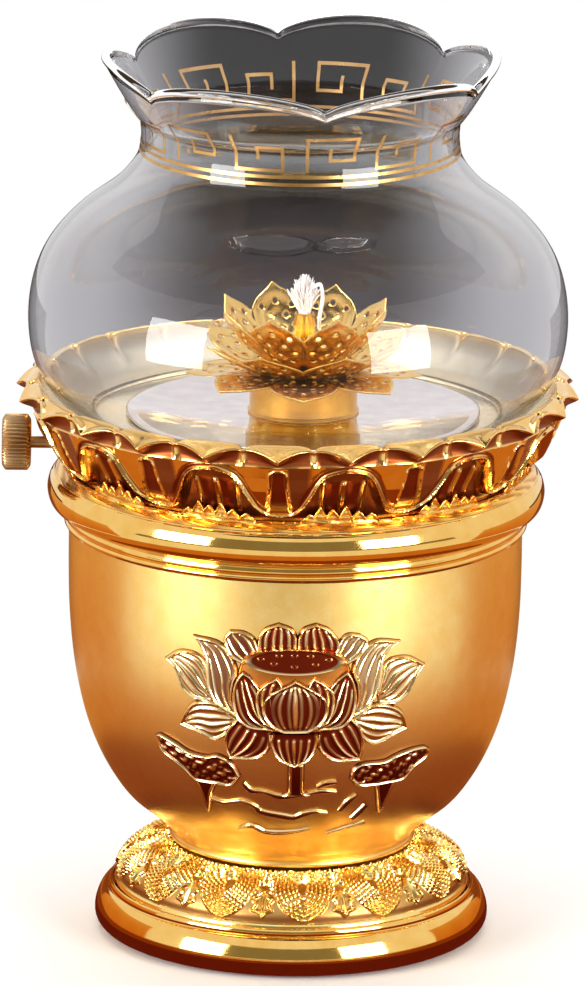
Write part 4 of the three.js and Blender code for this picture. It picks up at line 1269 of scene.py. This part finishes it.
# Wick
def wick():
    random.seed(7)
    bottom, top = low("wick", 2), high("wick", 2)
    strands, twist = 6, 0.35
    z = np.linspace(bottom, TUBE_TOP + 2.4, 60)
    stem = []
    for k in range(strands + 1):
        angle = k * TURN / strands + (z - bottom) * twist
        spread = 0.0 if k == strands else 0.92
        stem.append(np.stack([BURNER_X + spread * np.cos(angle), spread * np.sin(angle), z], axis=-1))
    tubes("wick_cord", stem, [0.62] * len(stem), cotton, "wick", "cotton", 8)
    lines, radii = [], []
    root = TUBE_TOP + 0.3
    for _ in range(230):
        angle = random.uniform(0, TURN)
        lean = random.random() ** 0.6
        reach = lean * random.uniform(2.6, 4.3)
        tall = top - root - random.uniform(0.2, 1.6) - 3.2 * lean**2
        curl = random.uniform(-0.7, 0.7)
        spot = random.uniform(0.1, 1.1)
        points = []
        for t in np.linspace(0, 1, 9):
            r = spot + (reach - spot) * t**0.8
            a = angle + curl * t * t
            droop = -0.9 * lean * max(0, t - 0.7) * 3
            points.append((BURNER_X + r * math.cos(a), r * math.sin(a), root + tall * t + droop))
        lines.append(points)
        radii.append(np.linspace(0.3, 0.09, 9))
    hanging = smooth([
        (1.6, -1.2, 147.5), (3.4, -2.2, 148.4), (3.9, -2.3, 145.5), (3.3, -2.1, 141.5), (3.2, -2.0, 138.5),
    ], 18) + (BURNER_X, 0, 0)
    for _ in range(9):
        shift = np.array([random.uniform(-reach, reach) for reach in (0.35, 0.35, 0.4)])
        lines.append(hanging + shift * np.linspace(0.4, 1.4, 19)[:, None])
        radii.append(np.linspace(0.26, 0.1, 19))
    tubes("wick_tuft", lines, radii, cotton, "wick", "cotton", 5, ["wick"])


# Chimney
NECK_RADIUS, NECK_Z = 35.3, 185.5
BELLY = [
    (47.2, CHIMNEY_BOTTOM), (47.4, CHIMNEY_BOTTOM + 1.6), (54, 123.9), (58.3, 131), (59.7, 140), (58.7, 149),
    (55.6, 156.5), (49.6, 163.5), (41.2, 170), (36.3, 176), (35.1, 181), (NECK_RADIUS, NECK_Z),
]
RUFFLES = 6


def flare(azimuths, t):
    """Outer skin of the ruffled mouth at t from the neck, 0, to the rim, 1: radius and height."""
    lobe = np.abs(np.sin(RUFFLES / 2 * (azimuths - RUFFLE_AZIMUTH))) ** 0.6
    rim_radius = 41.5 + 2.5 * lobe
    rim_z = 194.8 + 4.6 * lobe
    return NECK_RADIUS + (rim_radius - NECK_RADIUS) * t**0.85, NECK_Z + (rim_z - NECK_Z) * t


def chimney_skin(azimuths):
    mouth = np.stack(flare(azimuths[:, None], np.linspace(0.06, 1, 22)[None]), axis=-1)
    return np.concatenate([at_each(len(azimuths), smooth(BELLY, 70)), mouth], axis=1)


def chimney():
    steps = 432
    outer = chimney_skin(round_steps(steps))
    inner = offset(outer, CHIMNEY_WALL)
    inner[:, 0, 1] = CHIMNEY_BOTTOM
    end = (outer[:, -1] + inner[:, -1]) / 2
    along = unit(outer[:, -1] - outer[:, -3])
    side = np.stack([-along[:, 1], along[:, 0]], axis=-1)
    bead = np.stack([
        end + along * (math.cos(angle) - 0.55) - side * math.sin(angle)
        for angle in np.radians(np.linspace(-115, 115, 13))
    ], axis=1)
    profiles = np.concatenate([outer[:, :-3], bead, inner[:, :-3][:, ::-1]], axis=1)
    thing = revolve(
        "chimney_glass_body", profiles, chimney_glass, "chimney", "chimney_glass", ["glass_chimney"],
        steps=steps, sharp=80,
    )
    thing.visible_shadow = False


KEY_UNITS = 14
KEY_BOTTOM, KEY_HEIGHT, KEY_SHARE, KEY_LINE = 181.6, 7.6, 0.66, 0.36
KEY_SHAPES = [
    [(0.0, 0.0), (0.0, 1.0), (1.0, 1.0), (1.0, 0.3), (0.48, 0.3), (0.48, 0.64)],
    [(0.0, 1.0), (0.0, 0.0), (1.0, 0.0), (1.0, 0.7), (0.48, 0.7), (0.48, 0.36)],
]
KEY_RINGS = (180.2, 178.6)


def key_band():
    """Printed key band round the neck, laid on the glass as thin ribbons."""
    neck = smooth(BELLY, 200)[120:]
    parts = []

    def skin(azimuth, z):
        t = np.clip((z - NECK_Z) / 12.0, 0, 1)
        return np.where(z < NECK_Z, np.interp(z, neck[:, 1], neck[:, 0]), flare(azimuth, t)[0])

    def ribbon(start, end):
        """A straight ribbon between (azimuth, z) places, with square ends that reach past them."""
        turn, rise = end[0] - start[0], end[1] - start[1]
        level_line = abs(rise) < 1e-6
        length = math.hypot(turn * NECK_RADIUS, rise)
        t = np.linspace(0, 1, max(3, int(length / 0.6)))[:, None]
        s = np.linspace(-1, 1, 3)[None]
        past, aside = np.sign(turn if level_line else rise) * (2 * t - 1) * KEY_LINE, s * KEY_LINE
        azimuth = start[0] + turn * t + (past if level_line else aside) / NECK_RADIUS + 0 * s
        z = start[1] + rise * t + (aside if level_line else past) + 0 * s
        radius = skin(azimuth, z) + 0.06
        points = np.stack([radius * np.sin(azimuth), -radius * np.cos(azimuth), z], axis=-1)
        parts.append((points.reshape(-1, 3), grid_faces(len(t), 3), np.zeros(points.size // 3)))

    pitch = TURN / KEY_UNITS
    for k in range(KEY_UNITS):
        shape = KEY_SHAPES[k % 2]
        places = [((k + 0.1 + a * KEY_SHARE) * pitch, KEY_BOTTOM + b * KEY_HEIGHT) for a, b in shape]
        for start, end in zip(places, places[1:]):
            ribbon(start, end)
    ring_steps = 24
    for z in KEY_RINGS:
        for k in range(ring_steps):
            ribbon((k * TURN / ring_steps, z), ((k + 1) * TURN / ring_steps, z))
    vertices, faces, _ = joined(parts)
    thing = piece("key_band_print", vertices, faces, key_gold, "chimney", "chimney_glass", sharp=80)
    thing.visible_shadow = False


felt_pad()
foot_ring()
foot_dome()
urn()
lotus_relief()
leaf_reliefs()
water_lines()
collar()
crown()
crown_leaves()
deck()
burner_cup()
wick_tube()
lock_ring()
flower()
knob()
spindle()
wick()
chimney()
key_band()


# Stage
def shown_white(nodes, links):
    """1 for the rays that carry the background: to the camera, in metal and through glass."""
    path = nodes.new("ShaderNodeLightPath").outputs
    seen = maths(nodes, links, "MAXIMUM", path["Is Camera Ray"], path["Is Glossy Ray"])
    return maths(nodes, links, "MAXIMUM", seen, path["Is Transmission Ray"])


def mixed_light(nodes, links, factor, first, second, surface):
    """Sends a mix of two lights to a surface socket."""
    mix = nodes.new("ShaderNodeMixShader")
    for socket, value in zip(mix.inputs, (factor, first, second)):
        links.new(value, socket)
    links.new(mix.outputs[0], surface)


def floor():
    """Pale paper: it keeps the lamp's shadow and turns to plain white away from the lamp."""
    size = 6.0
    mesh = bpy.data.meshes.new("floor")
    corners = [(-size, -size, 0), (size, -size, 0), (size, size, 0), (-size, size, 0)]
    mesh.from_pydata(corners, [], [(0, 1, 2, 3)])
    paper, nodes, links, shader = new_material("floor_paper")
    shader.inputs["Base Color"].default_value = (0.88, 0.88, 0.88, 1)
    shader.inputs["Roughness"].default_value = 0.8
    place = nodes.new("ShaderNodeTexCoord")
    reach = nodes.new("ShaderNodeVectorMath")
    reach.operation = "LENGTH"
    links.new(place.outputs["Object"], reach.inputs[0])
    far = between(nodes, links, reach.outputs["Value"], 0.05, 0.15)
    factor = maths(nodes, links, "MULTIPLY", far, shown_white(nodes, links))
    white = nodes.new("ShaderNodeEmission").outputs[0]
    mixed_light(nodes, links, factor, shader.outputs[0], white, nodes["Material Output"].inputs["Surface"])
    mesh.materials.append(paper)
    linked("floor", mesh)


def world():
    """White to the camera and in glass and metal, and a softer light on the object."""
    place = bpy.data.worlds.new("studio")
    bpy.context.scene.world = place
    place.use_nodes = True
    nodes, links = place.node_tree.nodes, place.node_tree.links
    nodes.clear()
    lights = []
    for strength in (0.45, 1.0):
        light = nodes.new("ShaderNodeBackground")
        light.inputs["Color"].default_value = (1, 1, 1, 1)
        light.inputs["Strength"].default_value = strength
        lights.append(light.outputs[0])
    out = nodes.new("ShaderNodeOutputWorld")
    mixed_light(nodes, links, shown_white(nodes, links), *lights, out.inputs["Surface"])


def softbox(name, azimuth, elevation, distance, size, power, in_glass=True):
    """A soft lamp that looks at the middle of the lamp body."""
    a, e = math.radians(azimuth), math.radians(elevation)
    target = Vector((0, 0, 0.1))
    place = target + distance * Vector((math.sin(a) * math.cos(e), -math.cos(a) * math.cos(e), math.sin(e)))
    data = bpy.data.lights.new(name, "AREA")
    data.shape = "RECTANGLE"
    data.size, data.size_y = size
    data.energy = power
    light = linked(name, data)
    light.location = place
    light.rotation_euler = (target - place).to_track_quat("-Z", "Y").to_euler()
    light.visible_transmission = in_glass


def card_material(name, stops, after_metal=None, sides=None, fade=None):
    """A card that glows by its height, stops of (metres, colour), and towards sides at its left and right.

    fade is the pair of heights between which it turns white, for the glass when it is lifted.
    after_metal is its colour for rays that came in through the glass, met metal and left through the glass.
    """
    material, nodes, links, _ = new_material(name)
    place = nodes.new("ShaderNodeTexCoord")
    split = nodes.new("ShaderNodeSeparateXYZ")
    links.new(place.outputs["Object"], split.inputs[0])
    bottom, reach = stops[0][0], stops[-1][0] - stops[0][0]
    share = between(nodes, links, split.outputs["Z"], bottom, bottom + reach, "LINEAR")
    colour = ramp(nodes, links, share, [((z - bottom) / reach, value) for z, value in stops])
    if sides:
        out = maths(nodes, links, "ABSOLUTE", split.outputs["X"])
        colour = blended(nodes, links, between(nodes, links, out, 0.020, 0.055), colour, sides)
    if fade:
        above = between(nodes, links, split.outputs["Z"], *fade)
        colour = blended(nodes, links, above, colour, (1.0, 1.0, 1.0))
    if after_metal:
        path = nodes.new("ShaderNodeLightPath").outputs
        four_walls = maths(nodes, links, "COMPARE", path["Transmission Depth"], 4.0, 0.5)
        both = maths(nodes, links, "MULTIPLY", path["Glossy Depth"], four_walls, clamp=True)
        colour = blended(nodes, links, both, colour, after_metal)
    light = nodes.new("ShaderNodeEmission")
    links.new(colour, light.inputs["Color"])
    links.new(light.outputs[0], nodes["Material Output"].inputs["Surface"])
    return material


def card(name, places, start, end, material, count=60, seen_by="glossy"):
    """A studio card between two places, (radius, height), turned from one azimuth to another.

    Only one kind of ray sees it.
    """
    points = revolved_points(places, np.radians(np.linspace(start, end, count + 1)))
    mesh = bpy.data.meshes.new(name)
    mesh.from_pydata(points.reshape(-1, 3).tolist(), [], grid_faces(count + 1, 2))
    mesh.materials.append(material)
    thing = linked(name, mesh)
    thing.visible_camera = False
    thing.visible_diffuse = False
    thing.visible_shadow = False
    thing.visible_glossy = seen_by == "glossy"
    thing.visible_transmission = seen_by == "transmission"


def plain(name, colour):
    return card_material(name, [(0.0, colour), (2.0, colour)])


# Colour by height in metres of the dark backdrop behind the glass: painted shade that only rays through the
# glass see
GLASS_BACKDROP = [
    (0.055, (0.60, 0.58, 0.58)), (0.08, (0.36, 0.34, 0.35)), (0.095, (0.15, 0.13, 0.14)),
    (0.11, (0.065, 0.055, 0.06)), (0.13, (0.012, 0.008, 0.007)), (0.2, (0.003, 0.002, 0.002)),
]


def cards():
    """Studio cards that only metal sees, and the dark backdrop, painted shade, that only rays through the
    glass see.
    """
    table = [
        ("foot", 0.03, 0.058, (0.13, 0.014, 0.007)),
        ("table", 0.058, 0.115, (0.26, 0.05, 0.008)),
        ("table_rim", 0.115, 0.19, (0.62, 0.23, 0.04)),
    ]
    over_floor = 0.0004
    for name, inner, outer, colour in table:
        places = [(inner, over_floor), (outer, over_floor)]
        card(f"card_{name}", places, 0, 360, plain(f"{name}_card", colour))
    camera_side = plain("camera_side_card", (0.27, 0.26, 0.19))
    card("card_front_floor", [(0.47, 0.002), (1.3, 0.002)], -75, 75, camera_side, 30)
    card("card_front", [(1.3, 0.0), (1.3, 0.7)], -40, 40, camera_side, 20)
    night = plain("night_card", (0.05, 0.03, 0.018))
    card("card_hood", [(0.0, 0.215), (0.115, 0.215)], -90, 90, night)
    card("card_back_floor", [(0.22, 0.002), (1.1, 0.002)], 132, 228, night, 30)
    warm = [(0.0, (0.66, 0.22, 0.03)), (0.04, (0.72, 0.32, 0.07)), (0.09, (0.80, 0.46, 0.15))]
    warm = card_material("warm_card", warm)
    dusk = card_material("dusk_card", [(0.0, (0.30, 0.07, 0.012)), (0.09, (0.20, 0.06, 0.015))])
    flag = [(0.2, 0.0), (0.2, 0.08)]
    for side, turn in (("left", -1), ("right", 1)):
        card(f"flag_{side}", flag, turn * 84, turn * 140, warm, 30)
        card(f"edge_flag_{side}", flag, turn * 140, turn * 180, dusk, 20)
    for name, start, after_metal in (("behind", 90, (0.97, 0.93, 0.90)), ("before", -90, (0.70, 0.62, 0.53))):
        glass_backdrop = card_material(
            f"smoke_{name}", GLASS_BACKDROP, after_metal=after_metal, sides=(0.42, 0.41, 0.43), fade=(0.17, 0.36),
        )
        places = [(0.14, 0.055), (0.14, 0.4)]
        card(f"card_{name}_glass", places, start, start + 180, glass_backdrop, seen_by="transmission")


PITCH = math.radians(15.0)
ROLL = math.radians(0.7)
DISTANCE = 2.3
LENS = 378.0
LOOK = Vector((-0.00055, 0, 0.1))


def camera():
    data = bpy.data.cameras.new("camera")
    data.lens = LENS
    data.clip_end = 20
    thing = linked("camera", data)
    thing.location = LOOK + DISTANCE * Vector((0, -math.cos(PITCH), math.sin(PITCH)))
    thing.rotation_euler = (LOOK - thing.location).to_track_quat("-Z", "Y").to_euler()
    thing.rotation_euler.rotate_axis("Z", ROLL)
    bpy.context.scene.camera = thing


floor()
world()
softbox("softbox_left", -52, 8, 0.9, (0.42, 0.46), 9)
softbox("softbox_right", 43, 8, 0.9, (0.42, 0.46), 9)
softbox("softbox_top", 180, 72, 1.1, (0.9, 0.9), 10, in_glass=False)
cards()
camera()
bpy.context.scene.view_settings.view_transform = "Standard"
